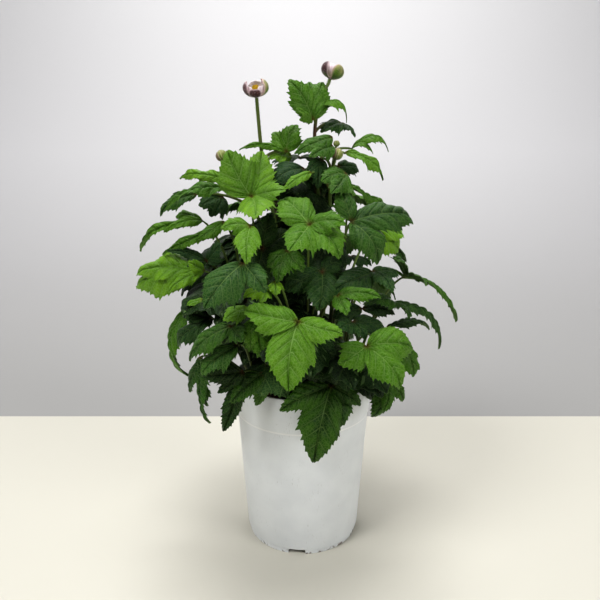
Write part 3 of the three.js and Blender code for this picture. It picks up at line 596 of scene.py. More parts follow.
def leaf_material():
    """Anemone leaf: a satin green blade with pale sunken veins, and a paler, greyer underside."""
    material, tree = new_material("anemone_leaf")
    read = {}
    for paint in PAINTS:
        read[paint] = add_node(tree, "Attribute", settings={"attribute_name": paint}, out="Fac")
    place = add_node(tree, "TexCoord", out="Object")
    # Cloudy patches about 12 mm across shift the tone by up to 0.15 either way
    clouds = add_node(tree, "TexNoise", {"Vector": place, "Scale": scale_of(11.765), "Detail": 3})
    clouded = add_node(tree, "Math", {0: clouds, 1: 0.3, 2: -0.15}, MULTIPLY_ADD)
    patched = add_node(tree, "Math", {0: read["tone"], 1: clouded}, ADD)
    # Painted shade in the valleys along the rib and the main veins: the blade is deepest green beside its
    # veins and lightest between them
    from_rib = add_node(tree, "Math", {0: read["across"]}, {"operation": "ABSOLUTE"})
    from_vein = add_node(tree, "Math", {0: read["vein"], 1: 1.0}, {"operation": "PINGPONG"})
    rib_valley_shade = add_node(tree, "MapRange", {0: from_rib, HIGH: 0.7, AT_LOW: -0.08, AT_HIGH: 0.03})
    vein_valley_shade = add_node(tree, "MapRange", {0: from_vein, HIGH: 0.7, AT_LOW: -0.04, AT_HIGH: 0.03})
    near = add_node(tree, "Math", {0: rib_valley_shade, 1: vein_valley_shade}, ADD)
    toned = add_node(tree, "Math", {0: patched, 1: near}, ADD)
    green = add_node(tree, "ValToRGB", {"Fac": toned}, stops=[
        (0.0, "#041002"), (0.3, "#1c3d06"), (0.55, "#3f6b0a"), (0.78, "#5e8a20"), (1.0, "#80ae1e"),
    ])
    # Veins: the rib, a main vein at every even count of teeth and a fainter one at every odd count
    rib = add_node(tree, "MapRange", {0: from_rib, LOW: 0.01, HIGH: 0.045, AT_LOW: 1.0, AT_HIGH: 0.0}, EASED)
    main_vein = add_node(tree, "MapRange",
                         {0: from_vein, LOW: 0.03, HIGH: 0.14, AT_LOW: 0.85, AT_HIGH: 0.0}, EASED)
    small_vein = add_node(tree, "MapRange", {0: from_vein, LOW: 0.9, HIGH: 0.98, AT_HIGH: 0.35}, EASED)
    side_vein = add_node(tree, "Math", {0: main_vein, 1: small_vein}, GREATEST)
    # A side vein fades as it nears the edge
    faded = add_node(tree, "MapRange", {0: from_rib, LOW: 0.35, AT_LOW: 1.0, AT_HIGH: 0.25})
    side_faded = add_node(tree, "Math", {0: side_vein, 1: faded}, MULTIPLY)
    veins = add_node(tree, "Math", {0: rib, 1: side_faded}, GREATEST)
    # The net between the veins, with meshes about 2.2 mm wide
    net = add_node(tree, "TexVoronoi",
                   {"Vector": place, "Scale": scale_of(2.2222)}, {"feature": "DISTANCE_TO_EDGE"})
    net_line = add_node(tree, "MapRange", {0: net, HIGH: 0.16, AT_LOW: 0.42, AT_HIGH: 0.0}, EASED)
    all_veins = add_node(tree, "Math", {0: veins, 1: net_line}, GREATEST)
    # Veins stand out more on the bright leaves
    vein_depth = add_node(tree, "MapRange",
                          {0: read["tone"], LOW: 0.1, HIGH: 0.8, AT_LOW: 0.16, AT_HIGH: 0.6})
    vein_share = add_node(tree, "Math", {0: all_veins, 1: vein_depth}, MULTIPLY)
    below = add_node(tree, "Math", {0: read["underside"], 1: 0.6}, MULTIPLY)
    # Over the green lie a blue-grey, the veins, the red-brown of the leaflet's foot and the pale underside
    colour = green
    for share, laid in (
        (read["blue"], "#2c4d2e"), (vein_share, "#97b768"), (read["blush"], "#6b4327"), (below, "#6f8a58"),
    ):
        colour = add_node(tree, "Mix", {FACTOR: share, COLOUR_A: colour, COLOUR_B: laid}, COLOURS, out=MIXED)
    relief = add_node(tree, "Bump",
                      {"Strength": 0.8, "Distance": 0.6 * MM, "Height": all_veins}, {"invert": True})
    gloss = add_node(tree, "Math", {0: clouds, 1: 0.25, 2: 0.32}, MULTIPLY_ADD)
    shader = add_node(tree, "BsdfPrincipled", {
        "Base Color": colour,
        "Roughness": gloss,
        "IOR": 1.45,
        "Specular IOR Level": 0.22,
        "Subsurface Weight": 0.06,
        "Subsurface Radius": (0.7, 1.0, 0.2),
        "Subsurface Scale": 0.8 * MM,
        "Normal": relief,
    })
    add_node(tree, "OutputMaterial", {"Surface": shader})
    return material


def stalk_material():
    """Leaf stalk and flower stem: ribbed green rods that are red-brown at the foot or in the sun."""
    material, tree = new_material("anemone_stalk")
    tone = add_node(tree, "Attribute", settings={"attribute_name": "tone"}, out="Fac")
    blush = add_node(tree, "Attribute", settings={"attribute_name": "blush"}, out="Fac")
    place = add_node(tree, "TexCoord", out="Object")
    green = add_node(tree, "ValToRGB", {"Fac": tone},
                     stops=[(0.0, "#26330f"), (0.5, "#566b2b"), (1.0, "#7f9c4c")])
    # Streaks that run up the stem: 1.1 mm wide and ten times as long
    stretch = add_node(tree, "Mapping", {"Vector": place, "Scale": (1.0, 1.0, 0.1)})
    streaks = add_node(tree, "TexNoise", {"Vector": stretch, "Scale": scale_of(1.1111)})
    streaked = add_node(tree, "Math", {0: blush, 1: streaks}, MULTIPLY)
    reddened = add_node(tree, "Math", {0: streaked, 1: 1.8}, {"operation": "MULTIPLY", "use_clamp": True})
    coloured = add_node(tree, "Mix",
                        {FACTOR: reddened, COLOUR_A: green, COLOUR_B: "#5a3226"}, COLOURS, out=MIXED)
    relief = add_node(tree, "Bump", {"Strength": 0.4, "Distance": 0.3 * MM, "Height": streaks})
    shader = add_node(tree, "BsdfPrincipled", {
        "Base Color": coloured,
        "Roughness": 0.5,
        "IOR": 1.45,
        "Normal": relief,
    })
    add_node(tree, "OutputMaterial", {"Surface": shader})
    return material


def sepal_material(name, foot, middle, top, inside, edge, streak_colour):
    """Anemone sepal: silky, with fine streaks from its foot to its tip. The paint "tone" carries the height,
    "underside" the outer face and "blush" the thin edge."""
    material, tree = new_material(name)
    read = {}
    for paint in ("across", "tone", "underside", "blush"):
        read[paint] = add_node(tree, "Attribute", settings={"attribute_name": paint}, out="Fac")
    place = add_node(tree, "TexCoord", out="Object")
    # Patches about 3 mm across shift the bands of colour up and down
    patches = add_node(tree, "TexNoise", {"Vector": place, "Scale": scale_of(3.0303)})
    height = add_node(tree, "Math", {0: patches, 1: 0.5, 2: read["tone"]}, MULTIPLY_ADD)
    outside = add_node(tree, "ValToRGB", {"Fac": height}, stops=[(0.35, foot), (0.7, middle), (1.0, top)])
    # Streaks half a millimetre wide run from the foot to the tip
    lines = add_node(tree, "Math", {0: read["across"], 1: 9.0}, MULTIPLY)
    wander = add_node(tree, "TexNoise", {"W": lines, "Scale": 1.0}, {"noise_dimensions": "1D"})
    streak_share = add_node(tree, "MapRange", {0: wander, LOW: 0.5, HIGH: 0.62, AT_HIGH: 0.6})
    streaked = add_node(tree, "Mix", {FACTOR: streak_share, COLOUR_A: outside, COLOUR_B: streak_colour},
                        COLOURS, out=MIXED)
    sided = add_node(tree, "Mix",
                     {FACTOR: read["underside"], COLOUR_A: inside, COLOUR_B: streaked}, COLOURS, out=MIXED)
    edged = add_node(tree, "Mix",
                     {FACTOR: read["blush"], COLOUR_A: sided, COLOUR_B: edge}, COLOURS, out=MIXED)
    # Down, drawn as grain 0.4 mm wide
    down = add_node(tree, "TexNoise", {"Vector": place, "Scale": scale_of(0.4)})
    relief = add_node(tree, "Bump", {"Strength": 0.3, "Distance": 0.2 * MM, "Height": down})
    shader = add_node(tree, "BsdfPrincipled", {
        "Base Color": edged,
        "Roughness": 0.55,
        "IOR": 1.45,
        "Sheen Weight": 0.25,
        "Sheen Roughness": 0.5,
        "Subsurface Weight": 0.15,
        "Subsurface Radius": (1.0, 0.8, 0.6),
        "Subsurface Scale": 0.8 * MM,
        "Normal": relief,
    })
    add_node(tree, "OutputMaterial", {"Surface": shader})
    return material


def anther_material():
    """Anthers: powdery yellow pollen, in grains drawn 0.7 mm wide so that they show."""
    material, tree = new_material("anther_pollen")
    place = add_node(tree, "TexCoord", out="Object")
    grains = add_node(tree, "TexNoise", {"Vector": place, "Scale": scale_of(0.66667), "Detail": 3})
    yellow = add_node(tree, "ValToRGB", {"Fac": grains}, stops=[(0.3, "#a8871c"), (0.7, "#edc931")])
    relief = add_node(tree, "Bump", {"Strength": 0.5, "Distance": 0.2 * MM, "Height": grains})
    shader = add_node(tree, "BsdfPrincipled", {
        "Base Color": yellow,
        "Roughness": 0.85,
        "IOR": 1.45,
        "Normal": relief,
    })
    add_node(tree, "OutputMaterial", {"Surface": shader})
    return material


def pot_material():
    """White polypropylene, injection moulded: a dull soft gloss, with faint scuffs, fine upright scratches,
    and a little soil along the foot."""
    material, tree = new_material("white_polypropylene")
    place = add_node(tree, "TexCoord", out="Object")
    # Cloudy handling marks about 25 mm across
    clouds = add_node(tree, "TexNoise", {"Vector": place, "Scale": scale_of(25), "Detail": 4})
    white = add_node(tree, "ValToRGB", {"Fac": clouds}, stops=[(0.3, "#dadddf"), (0.7, "#e4e7e8")])
    # Scratches 0.4 mm wide and 8 mm tall, in patches about 18 mm across
    upright = add_node(tree, "Mapping", {"Vector": place, "Scale": (1.0, 1.0, 0.05)})
    scratches = add_node(tree, "TexNoise", {"Vector": upright, "Scale": scale_of(0.4)})
    scratch = add_node(tree, "MapRange", {0: scratches, LOW: 0.66, HIGH: 0.72, AT_HIGH: 0.7})
    patches = add_node(tree, "TexNoise", {"Vector": place, "Scale": scale_of(18.182)})
    patch = add_node(tree, "MapRange", {0: patches, LOW: 0.5, HIGH: 0.6})
    scuffed = add_node(tree, "Math", {0: scratch, 1: patch}, MULTIPLY)
    # A painted highlight along the band's lower edge, where light catches the small step, 0.9 mm up and down
    height = add_node(tree, "SeparateXYZ", {"Vector": place}, out="Z")
    band_edge_highlight = add_node(tree, "Math",
                      {0: height, 1: (POT_HEIGHT - BAND_HEIGHT) * MM, 2: 0.9 * MM}, {"operation": "COMPARE"})
    band_edge_highlight_share = add_node(tree, "Math", {0: band_edge_highlight, 1: 0.6}, MULTIPLY)
    # Crumbs of soil about 4 mm across cling to the lowest 3 mm
    low = add_node(tree, "MapRange",
                   {0: height, LOW: 0.8 * MM, HIGH: 3.5 * MM, AT_LOW: 1.0, AT_HIGH: 0.0})
    crumbs = add_node(tree, "TexNoise", {"Vector": place, "Scale": scale_of(3.8462), "Detail": 4})
    crumb = add_node(tree, "MapRange", {0: crumbs, LOW: 0.5, HIGH: 0.6, AT_HIGH: 0.9})
    soiled = add_node(tree, "Math", {0: low, 1: crumb}, MULTIPLY)
    # Over the white lie the scuffs, the painted highlight on the band's edge and the soil
    colour = white
    for share, laid in ((scuffed, "#a9a8a2"), (band_edge_highlight_share, "#f4f4f3"), (soiled, "#5b4028")):
        colour = add_node(tree, "Mix", {FACTOR: share, COLOUR_A: colour, COLOUR_B: laid}, COLOURS, out=MIXED)
    # The mould leaves a shallow orange peel with dimples 1.4 mm wide
    orange_peel = add_node(tree, "TexNoise", {"Vector": place, "Scale": scale_of(1.42857)})
    relief = add_node(tree, "Bump", {"Strength": 0.12, "Distance": 0.3 * MM, "Height": orange_peel})
    gloss = add_node(tree, "Math", {0: clouds, 1: 0.2, 2: 0.36}, MULTIPLY_ADD)
    shader = add_node(tree, "BsdfPrincipled", {
        "Base Color": colour,
        "Roughness": gloss,
        "IOR": 1.49,
        "Subsurface Weight": 0.1,
        "Subsurface Radius": (1.0, 1.0, 0.9),
        "Subsurface Scale": 1.0 * MM,
        "Normal": relief,
    })
    add_node(tree, "OutputMaterial", {"Surface": shader})
    return material


def soil_material():
    """Damp peat mix: crumbly dark brown, in crumbs of 2.5 mm, with paler bark."""
    material, tree = new_material("damp_peat")
    place = add_node(tree, "TexCoord", out="Object")
    tone = add_node(tree, "Attribute", settings={"attribute_name": "tone"}, out="Fac")
    crumbs = add_node(tree, "TexNoise", {"Vector": place, "Scale": scale_of(2.5), "Detail": 6})
    mixed = add_node(tree, "Math", {0: crumbs, 1: 0.5, 2: tone}, MULTIPLY_ADD)
    brown = add_node(tree, "ValToRGB", {"Fac": mixed},
                     stops=[(0.1, "#1d120b"), (0.5, "#38251a"), (1.0, "#7a5c40")])
    relief = add_node(tree, "Bump", {"Strength": 0.8, "Distance": 1.0 * MM, "Height": crumbs})
    shader = add_node(tree, "BsdfPrincipled", {
        "Base Color": brown,
        "Roughness": 0.9,
        "IOR": 1.45,
        "Normal": relief,
    })
    add_node(tree, "OutputMaterial", {"Surface": shader})
    return material


LEAF = leaf_material()
STALK = stalk_material()
# Sepal skins: name, then colours of the foot, middle, top, inner face, edge and streaks
PURPLE_SEPAL = sepal_material("purple_sepal",
                              "#42600f", "#431f24", "#553035", "#e6d6da", "#dfc8cb", "#220d10")
GREEN_SEPAL = sepal_material("green_sepal", "#3d5c0a", "#5d7c18", "#98985a", "#e6dcd4", "#d8b8b4", "#263906")
PINK_SEPAL = sepal_material("pink_sepal", "#cfc3a8", "#dcc8cf", "#e6d8dd", "#efe8ea", "#f0e8ea", "#c39fae")
BUD_SKIN = sepal_material("downy_bud", "#4a5a1c", "#6e6238", "#86755a", "#9aa07c", "#beb592", "#3d2f1e")
YOUNG_SEPAL = sepal_material("young_sepal", "#4a6612", "#74892e", "#979c58", "#9aa07c", "#cac49a", "#3f5018")
POLLEN = anther_material()
POT_PLASTIC = pot_material()
PEAT = soil_material()


# Leaves
def leaf_up(hub, tips):
    """The way that a leaf's upper side faces: up, outward and square to its leaflets."""
    lean = np.array([0.0, 0.0, 1.0])
    lean[:2] += OUTWARD_LEAN * unit(hub[:2])
    if hub[1] < 0:
        lean[1] -= LIGHT_LEAN
    lean = unit(lean)
    total = np.zeros(3)
    for i in range(len(tips)):
        for j in range(i + 1, len(tips)):
            cross = unit(np.cross(tips[i] - hub, tips[j] - hub))
            total += cross if cross @ lean >= 0 else -cross
    if np.linalg.norm(total) > 0:
        total = unit(total)
    return unit(total + 0.8 * lean)


def half_leaflet(share, teeth, half_width, depth, shift, draw):
    """One half of a leaflet of unit length, row by row: across and along at its edge, place of the side
    vein's root on the rib, and how far the row is from a side vein, counted in teeth."""
    lobe_end = draw.uniform(*LOBE_END)
    lobe_reach = half_width * draw.uniform(*LOBE_REACH)
    blade = BLADE_FILL * half_width * share ** 0.62 * (1 - share) ** 0.9 / WIDEST_TAPER
    # A side lobe swells up to its own tip and ends in a notch
    rising = (share / lobe_end) ** 1.8
    falling = np.clip(1 - (share - lobe_end) / LOBE_NOTCH, 0, 1)
    lobe = np.where(share < lobe_end, rising, falling)
    swell = np.sqrt(np.sin(np.pi * share))
    passed = share * teeth + shift
    phase = passed % 1.0
    sizes = draw.uniform(*TOOTH_SIZE, teeth + 2)
    sizes *= np.where(np.arange(teeth + 2) % 2, SMALL_TOOTH, LARGE_TOOTH)
    saw = np.where(phase < TOOTH_TIP, (phase / TOOTH_TIP) ** 1.5, (1 - phase) / (1 - TOOTH_TIP))
    tooth = depth * saw * swell * sizes[np.floor(passed).astype(int)]
    across = blade + 0.7 * lobe_reach * lobe + 0.014 * swell + 0.75 * tooth
    along = share + 0.5 * lobe_reach * lobe + 0.9 * tooth
    rib = np.maximum.accumulate(np.maximum(0.13 * share, share - RIB_SWEEP * blade))
    return across, along, rib, passed - TOOTH_TIP


def add_leaflet(surface, hub, tip, up, half_width, arch, tone, blue, draw, grade):
    """A leaflet with toothed edges, sunken side veins, quilting between them, waves and a curled tip."""
    forward = tip - hub
    length = np.linalg.norm(forward)
    forward = forward / length
    normal = unit(up - forward * (up @ forward))
    side = np.cross(forward, normal)
    teeth = int(np.clip(round(length / grade["spacing"]), FEWEST_TEETH, MOST_TEETH))
    depth = grade["depth"] / length * min(1.0, half_width * length / FULL_TOOTH_WIDTH)
    rows = grade["rows"] * teeth
    columns = grade["columns"]
    share = np.clip(np.arange(rows + 1) / rows, *LEAFLET_ENDS)
    reach = np.arange(1, columns + 1) / columns
    extra, fold, twist, curl, ruffle, waves, sway = (draw.uniform(*span) for span in LEAFLET_RANGES)
    arch = arch + extra
    halves = {}
    ribs = {}
    for hand, shift in ((-1, LEFT_SHIFT), (1, 0.0)):
        across, along, rib, vein = half_leaflet(share, teeth, half_width, depth, shift, draw)
        ribs[hand] = rib
        wave_start = draw.uniform(0, FULL_TURN)
        spread = np.outer(across, reach)
        forth = rib[:, None] + np.outer(along - rib, reach)
        between = np.abs((vein + 1) % 2 - 1)[:, None]
        wave = (np.sin(FULL_TURN * waves * share + wave_start) * np.sqrt(np.sin(np.pi * share)))[:, None]
        lift = (
            4 * arch * forth * (1 - forth)
            + fold * spread
            - 0.5 * spread ** 2 / half_width
            + ruffle * wave * reach ** 2
            + QUILTING * np.sin(0.5 * math.pi * between) ** 0.8 * np.minimum(1, 3 * reach) * (1 - 0.6 * reach)
            + hand * twist * spread * forth
            - curl * np.maximum(0, forth - CURL_START) ** 2
        )
        halves[hand] = (hand * spread, forth, lift, np.broadcast_to(vein[:, None], spread.shape))
    # Both halves meet at the mean of their ribs, which sinks a little
    rib = 0.5 * (ribs[-1] + ribs[1])
    rib_lift = 4 * arch * rib * (1 - rib) - RIB_SINK - curl * np.maximum(0, rib - CURL_START) ** 2
    middle = (np.zeros(len(share)), rib, rib_lift, halves[1][3][:, 0])
    spread, forth, lift, vein = (
        np.column_stack([left[:, ::-1], centre, right])
        for left, centre, right in zip(halves[-1], middle, halves[1])
    )
    across_share = np.concatenate([-reach[::-1], [0], reach])[None, :] * np.ones_like(spread)
    sideways = spread + 4 * sway * forth * (1 - forth)
    upper = hub + length * (
        forth[..., None] * forward + sideways[..., None] * side + lift[..., None] * normal
    )
    # The rib stands out below, most at the leaflet's root
    rib_rise = RIB_RISE * np.exp(-(across_share / 0.12) ** 2) * (1 - forth)
    lower = upper - (BLADE_THICKNESS + rib_rise)[..., None] * normal
    corners, faces = shell(upper[:, ::-1], lower[:, ::-1])
    # The leaflet is red-brown for its first 2 mm
    blush = 0.8 * np.exp(-(np.linalg.norm(upper - hub, axis=-1) / 2.2) ** 2)

    def both(values):
        """Values for the corners of the upper and the lower side, in the shell's order."""
        return np.tile(values[:, ::-1].ravel(), 2)

    surface.add(
        corners, faces,
        across=both(across_share),
        vein=both(vein),
        tone=tone,
        blue=blue,
        underside=np.repeat([0, 1], spread.size),
        blush=both(blush),
    )


def add_leaf(surface, start, leaf, draw, grade=FINE):
    """A leaf: its stalk rises from the start, leans out to the hub and ends under the leaflets."""
    hub, rows, half_width, arch, tone, blue, *facing = leaf
    hub = np.array(hub, float)
    tips = [np.array(row[:3], float) for row in rows]
    widths = [row[3] if len(row) > 3 else half_width for row in rows]
    up = unit(np.array(facing[0])) if facing else leaf_up(hub, tips)
    bend = start + 0.4 * (hub - start)
    bend[2] = start[2] + (hub[2] - start[2]) * 0.85 + 4
    share = np.linspace(0, 1, LEAF_STALK_RINGS)[:, None]
    points = (1 - share) ** 2 * start + 2 * share * (1 - share) * bend + share ** 2 * (hub - 0.4 * up)
    radii = LEAF_STALK_RADIUS * np.linspace(1.25, 0.85, LEAF_STALK_RINGS)
    radii[-1] *= 0.6
    rod = tube(points, radii, grade["sides"])
    rise = np.repeat(share, grade["sides"])
    surface.add(*rod, material=1, tone=0.2 + 0.6 * tone, blush=0.5 * (1 - rise) ** 2)
    for place, (tip, width) in enumerate(zip(tips, widths)):
        root = hub - LEAFLET_LAYER * place * up
        own_tone = np.clip(tone + draw.uniform(*TONE_SHIFT), 0, 1)
        add_leaflet(surface, root, tip, up, width, arch, own_tone, blue, draw, grade)


def tip_of(hub, way, length, dip):
    """A leaflet's tip, from the way that it points and how far it dips, both in radians."""
    flat = length * math.cos(dip)
    return [hub[0] + flat * math.cos(way), hub[1] + flat * math.sin(way), hub[2] - length * math.sin(dip)]


def far_leaves():
    """The far side's leaves, bunch by bunch, on one plan that a fixed unevenness varies."""
    bunches = {}
    for k, (bunch, facing) in enumerate(FAR_BUNCHES):
        bunches[bunch] = []
        for level, (height, reach, turn, length, dip) in enumerate(FAR_LEVELS):
            uneven = math.sin(12.9 * k + 7.3 * level)
            heading = math.radians(facing + turn + 3 * uneven)
            hub = [reach * math.cos(heading), reach * math.sin(heading), height + 6 * uneven]
            tips = []
            for spread in (0, FAR_SIDE_TURN, -FAR_SIDE_TURN):
                size = length * (FAR_SIDE_SHARE if spread else 1)
                fall = math.radians(dip * (FAR_SIDE_DIP if spread else 1))
                tips.append(tip_of(hub, heading + math.radians(spread), size, fall))
            tone = 0.5 + 0.22 * math.sin(5.1 * k + 2.3 * level)
            blue = 0.3 if level == 1 else 0.1
            bunches[bunch].append([hub, tips, FAR_HALF_WIDTH, FAR_ARCH, tone, blue])
    return bunches


ALL_LEAVES = {**LEAVES, **far_leaves()}


def make_tuft(name, crown, draw):
    """A bunch of leaves on a short red-brown stock, which stands in the potting mix."""
    surface = Surface()
    start = np.array([crown[0], crown[1], SOIL_TOP + CROWN_RISE - 3.0])
    for leaf in ALL_LEAVES[name]:
        add_leaf(surface, start, leaf, draw)
    heights = SOIL_TOP + np.linspace(-CROWN_DEPTH, CROWN_RISE, CROWN_RINGS)
    points = [[crown[0], crown[1], height] for height in heights]
    swell = 0.75 + 0.25 * np.sin(np.linspace(0.4, 2.6, CROWN_RINGS))
    surface.add(*tube(points, CROWN_RADIUS * swell, CROWN_SIDES), material=1, tone=0.1, blush=1.0)
    make_piece(name + "_grown", surface, [LEAF, STALK], [name])


def add_stem_down(surface, line, radius, draw):
    """Short silky hairs on the young part of a stem: slim three-sided spikes."""
    for pick in draw.integers(0, len(line) - 1, STEM_HAIR_COUNT):
        step = line[pick + 1] - line[pick]
        way = unit(step)
        out = draw.normal(size=3)
        out = unit(out - way * (out @ way))
        root = line[pick] + draw.uniform(0, 1) * step + out * (radius - 0.1)
        tip = root + out * draw.uniform(0.5, 1.1) + 0.35 * way
        surface.add(*tube([root, tip], [0.045, HAIR_TIP], 3), material=1, tone=0.95)


def make_flower_stem(name, points, red, draw):
    """A flower stem with its down and the leaves that branch from it."""
    surface = Surface()
    base = [points[0][0], points[0][1], points[0][2] - FLOWER_STEM_ROOT]
    curve = smooth_curve([base] + points, FLOWER_STEM_RINGS)
    rise = np.linspace(0, 1, len(curve))
    corners, faces = tube(curve, FLOWER_STEM_RADIUS * (1.1 - 0.3 * rise), FLOWER_STEM_SIDES)
    blush = red[1] * np.exp(-((curve[:, 2] - red[0]) / RED_BAND) ** 2)
    surface.add(corners, faces, material=1, tone=0.5, blush=np.repeat(blush, FLOWER_STEM_SIDES))
    young = curve[curve[:, 2] > points[-1][2] - DOWNY_LENGTH]
    add_stem_down(surface, young, FLOWER_STEM_RADIUS * 0.8, draw)
    samples = smooth_curve([base] + points, STEM_SAMPLES)
    for leaf in ALL_LEAVES[name]:
        # The further out a leaf's hub, the lower on the stem its stalk branches
        hub = np.array(leaf[0], float)
        away = np.min(np.hypot(samples[:, 0] - hub[0], samples[:, 1] - hub[1]))
        height = min(hub[2] - 0.6 * away, points[-1][2] - 8)
        start = samples[np.argmax(samples[:, 2] >= height)]
        add_leaf(surface, start, leaf, draw)
    if name == "right_flower_stem":
        shoot = smooth_curve(SIDE_SHOOT, SHOOT_RINGS)
        surface.add(*tube(shoot, np.linspace(1.3, 0.9, SHOOT_RINGS), SHOOT_SIDES), material=1, tone=0.45)
        seat = shoot[-1] - [0, 0, TINY_BUD_RADIUS]
        add_closed_bud(surface, seat, np.eye(3), TINY_BUD_RADIUS, (2, 2, 2), draw)
    make_piece(name + "_grown", surface, [LEAF, STALK, YOUNG_SEPAL], [name])


def make_inner_foliage(draw):
    """Leaves that fill the plant's inside, coloured near black as painted shade, in a lower and an upper
    piece.
    """
    halves = {"inner_foliage_low": Surface(), "inner_foliage_high": Surface()}
    stems = np.concatenate([smooth_curve(points, CORE_SAMPLES) for _, points, _ in FLOWER_STEMS])
    for k in range(INNER_LEAF_COUNT):
        height = INNER_LOWEST + INNER_RANGE * ((k * GOLDEN_SHARE) % 1.0) ** 0.8
        rise = max(0, height - INNER_NARROWING)
        outer = INNER_REACH - 0.35 * max(0, 200 - height) - 0.45 * rise
        heading = k * GOLDEN_TURN
        reach = outer * draw.uniform(0.1, 0.8)
        if k % 4 == 0:
            # Every fourth leaf stands near the core, on the viewer's side
            heading = -math.pi / 2 + 1.2 * math.sin(heading)
            reach *= 0.5
        hub = np.array([reach * math.cos(heading) - 4 - 0.2 * rise, reach * math.sin(heading) - 4, height])
        start = np.array([0.5 * hub[0], 0.5 * hub[1], SOIL_TOP])
        if height > INNER_BRANCHING:
            # Higher leaves branch from the flower stem that is nearest below
            away = np.hypot(stems[:, 0] - hub[0], stems[:, 1] - hub[1])
            start = stems[np.argmin(np.abs(stems[:, 2] - hub[2] + 0.9 * away) + 0.4 * away)]
        length = draw.uniform(28, 44) * (1 if height < INNER_SMALL else 0.7)
        dip = math.radians(draw.uniform(15, 60))
        tips = []
        for spread in (0, 1.1, -1.1):
            way = heading + spread + draw.uniform(-0.2, 0.2)
            tips.append(tip_of(hub, way, length * (0.8 if spread else 1), dip))
        surface = halves["inner_foliage_low" if height < INNER_SPLIT else "inner_foliage_high"]
        # Tones from 0 to 0.12 make these leaves near black: painted shade for the deep inside of the plant
        add_leaf(surface, start, [hub, tips, 0.4, 0.09, draw.uniform(0.0, 0.12), 0.15], draw, COARSE)
    for name, surface in halves.items():
        make_piece(name, surface, [LEAF, STALK])


# Buds
def stem_frame(points):
    """Place past the stem's end and the axes of a bud that stands on it, turned from +Z the short way."""
    end = np.array(points[-1], float)
    way = unit(end - np.array(points[-2], float))
    axis = np.cross([0, 0, 1], way)
    sine = np.linalg.norm(axis)
    axis = axis / sine
    cross = np.array([[0, -axis[2], axis[1]], [axis[2], 0, -axis[0]], [-axis[1], axis[0], 0]])
    turn = np.eye(3) + sine * cross + (1 - way[2]) * cross @ cross
    return end + SEAT_GAP * way, turn


def add_sepal(surface, place, turn, radius, heading, half_turn, opening, centre, squash, material,
              ruffle=0.0):
    """One cupped sepal: a strip of a ball that widens and narrows again on its way up from the bud's foot."""
    share = np.linspace(0, 1, SEPAL_ROWS)
    foot = 0.95 * math.pi
    polar = foot + (opening - foot) * share
    reach = half_turn * np.sin(math.pi * (0.15 + 0.76 * share)) ** 0.5
    across = np.linspace(-1, 1, SEPAL_COLUMNS)
    turns = heading + np.outer(reach, across)
    # A shallow keel up the middle, an edge that rolls in, and ruffles that grow towards the tip
    swell = 1 + 0.05 * (1 - across ** 2)[None, :] - 0.03 * np.abs(across[None, :]) ** 6
    swell = swell + ruffle * np.sin(5 * across + heading)[None, :] * share[:, None] ** 2
    swell = swell + 0.012 * np.sin(17 * across + 3 * heading)[None, :] * share[:, None]
    sine = np.sin(polar)[:, None]
    rise = np.cos(polar)[:, None] * np.ones_like(turns)
    way = np.stack([sine * np.cos(turns), sine * np.sin(turns), rise], axis=-1)
    layers = []
    for size in (radius - SEPAL_THICKNESS, radius):
        ball = way * (size * swell)[..., None]
        ball[..., 2] *= squash
        ball[..., 2] += centre
        layers.append(place + ball @ turn.T)
    inner, outer = layers
    corners, faces = shell(inner, outer)
    flat = np.tile(across, SEPAL_ROWS)
    up = np.repeat(share, SEPAL_COLUMNS)
    # The thin edge is paler at the sides and at the tip
    edge = np.clip((np.abs(flat) - 0.72) / 0.28, 0, 1) ** 1.5 * 0.8 + np.clip((up - 0.88) / 0.12, 0, 1) * 0.7
    surface.add(
        corners, faces, material=material,
        across=np.tile(flat, 2),
        tone=np.tile(up, 2),
        underside=np.repeat([0, 1], len(flat)),
        blush=np.tile(np.clip(edge, 0, 1), 2),
    )
    return outer


def add_sepal_down(surface, face, middle, material, draw, count=SEPAL_HAIR_COUNT):
    """Silky hairs that lie close along a sepal's outer face."""
    rows, columns = face.shape[:2]
    for _ in range(count):
        row = draw.integers(1, rows - 2)
        column = draw.integers(1, columns - 1)
        root = face[row, column]
        out = unit(root - middle)
        along = unit(face[row + 1, column] - root)
        tip = root + 0.45 * out + draw.uniform(0.4, 0.9) * along
        hair = tube([root - 0.1 * out, tip], [0.04, HAIR_TIP], 3)
        surface.add(*hair, material=material, tone=0.9, underside=1.0, blush=0.9)


def make_open_bud(name, points, radius, outer_sepals, inner_sepals, draw):
    """Three outer sepals, three paler ones inside them, and the stamens."""
    place, turn = stem_frame(points)
    centre = 1.09 * radius * BUD_SQUASH
    outer = Surface()
    for heading, opening, half_turn, material in outer_sepals:
        face = add_sepal(outer, place, turn, radius, math.radians(heading), half_turn, opening, centre,
                         BUD_SQUASH, material)
        add_sepal_down(outer, face, place + centre * turn[:, 2], material, draw)
    make_piece(name + "_bud_outer_whorl", outer, [PURPLE_SEPAL, GREEN_SEPAL],
               [name + "_bud_outer_sepals"])
    inner = Surface()
    for heading, opening, half_turn in inner_sepals:
        add_sepal(inner, place, turn, radius - INNER_WHORL_INSET, math.radians(heading), half_turn, opening,
                  centre, BUD_SQUASH, 0, 0.025)
    make_piece(name + "_bud_inner_whorl", inner, [PINK_SEPAL], [name + "_bud_inner_sepals"])
    make_stamens(name, place, turn, radius, centre)


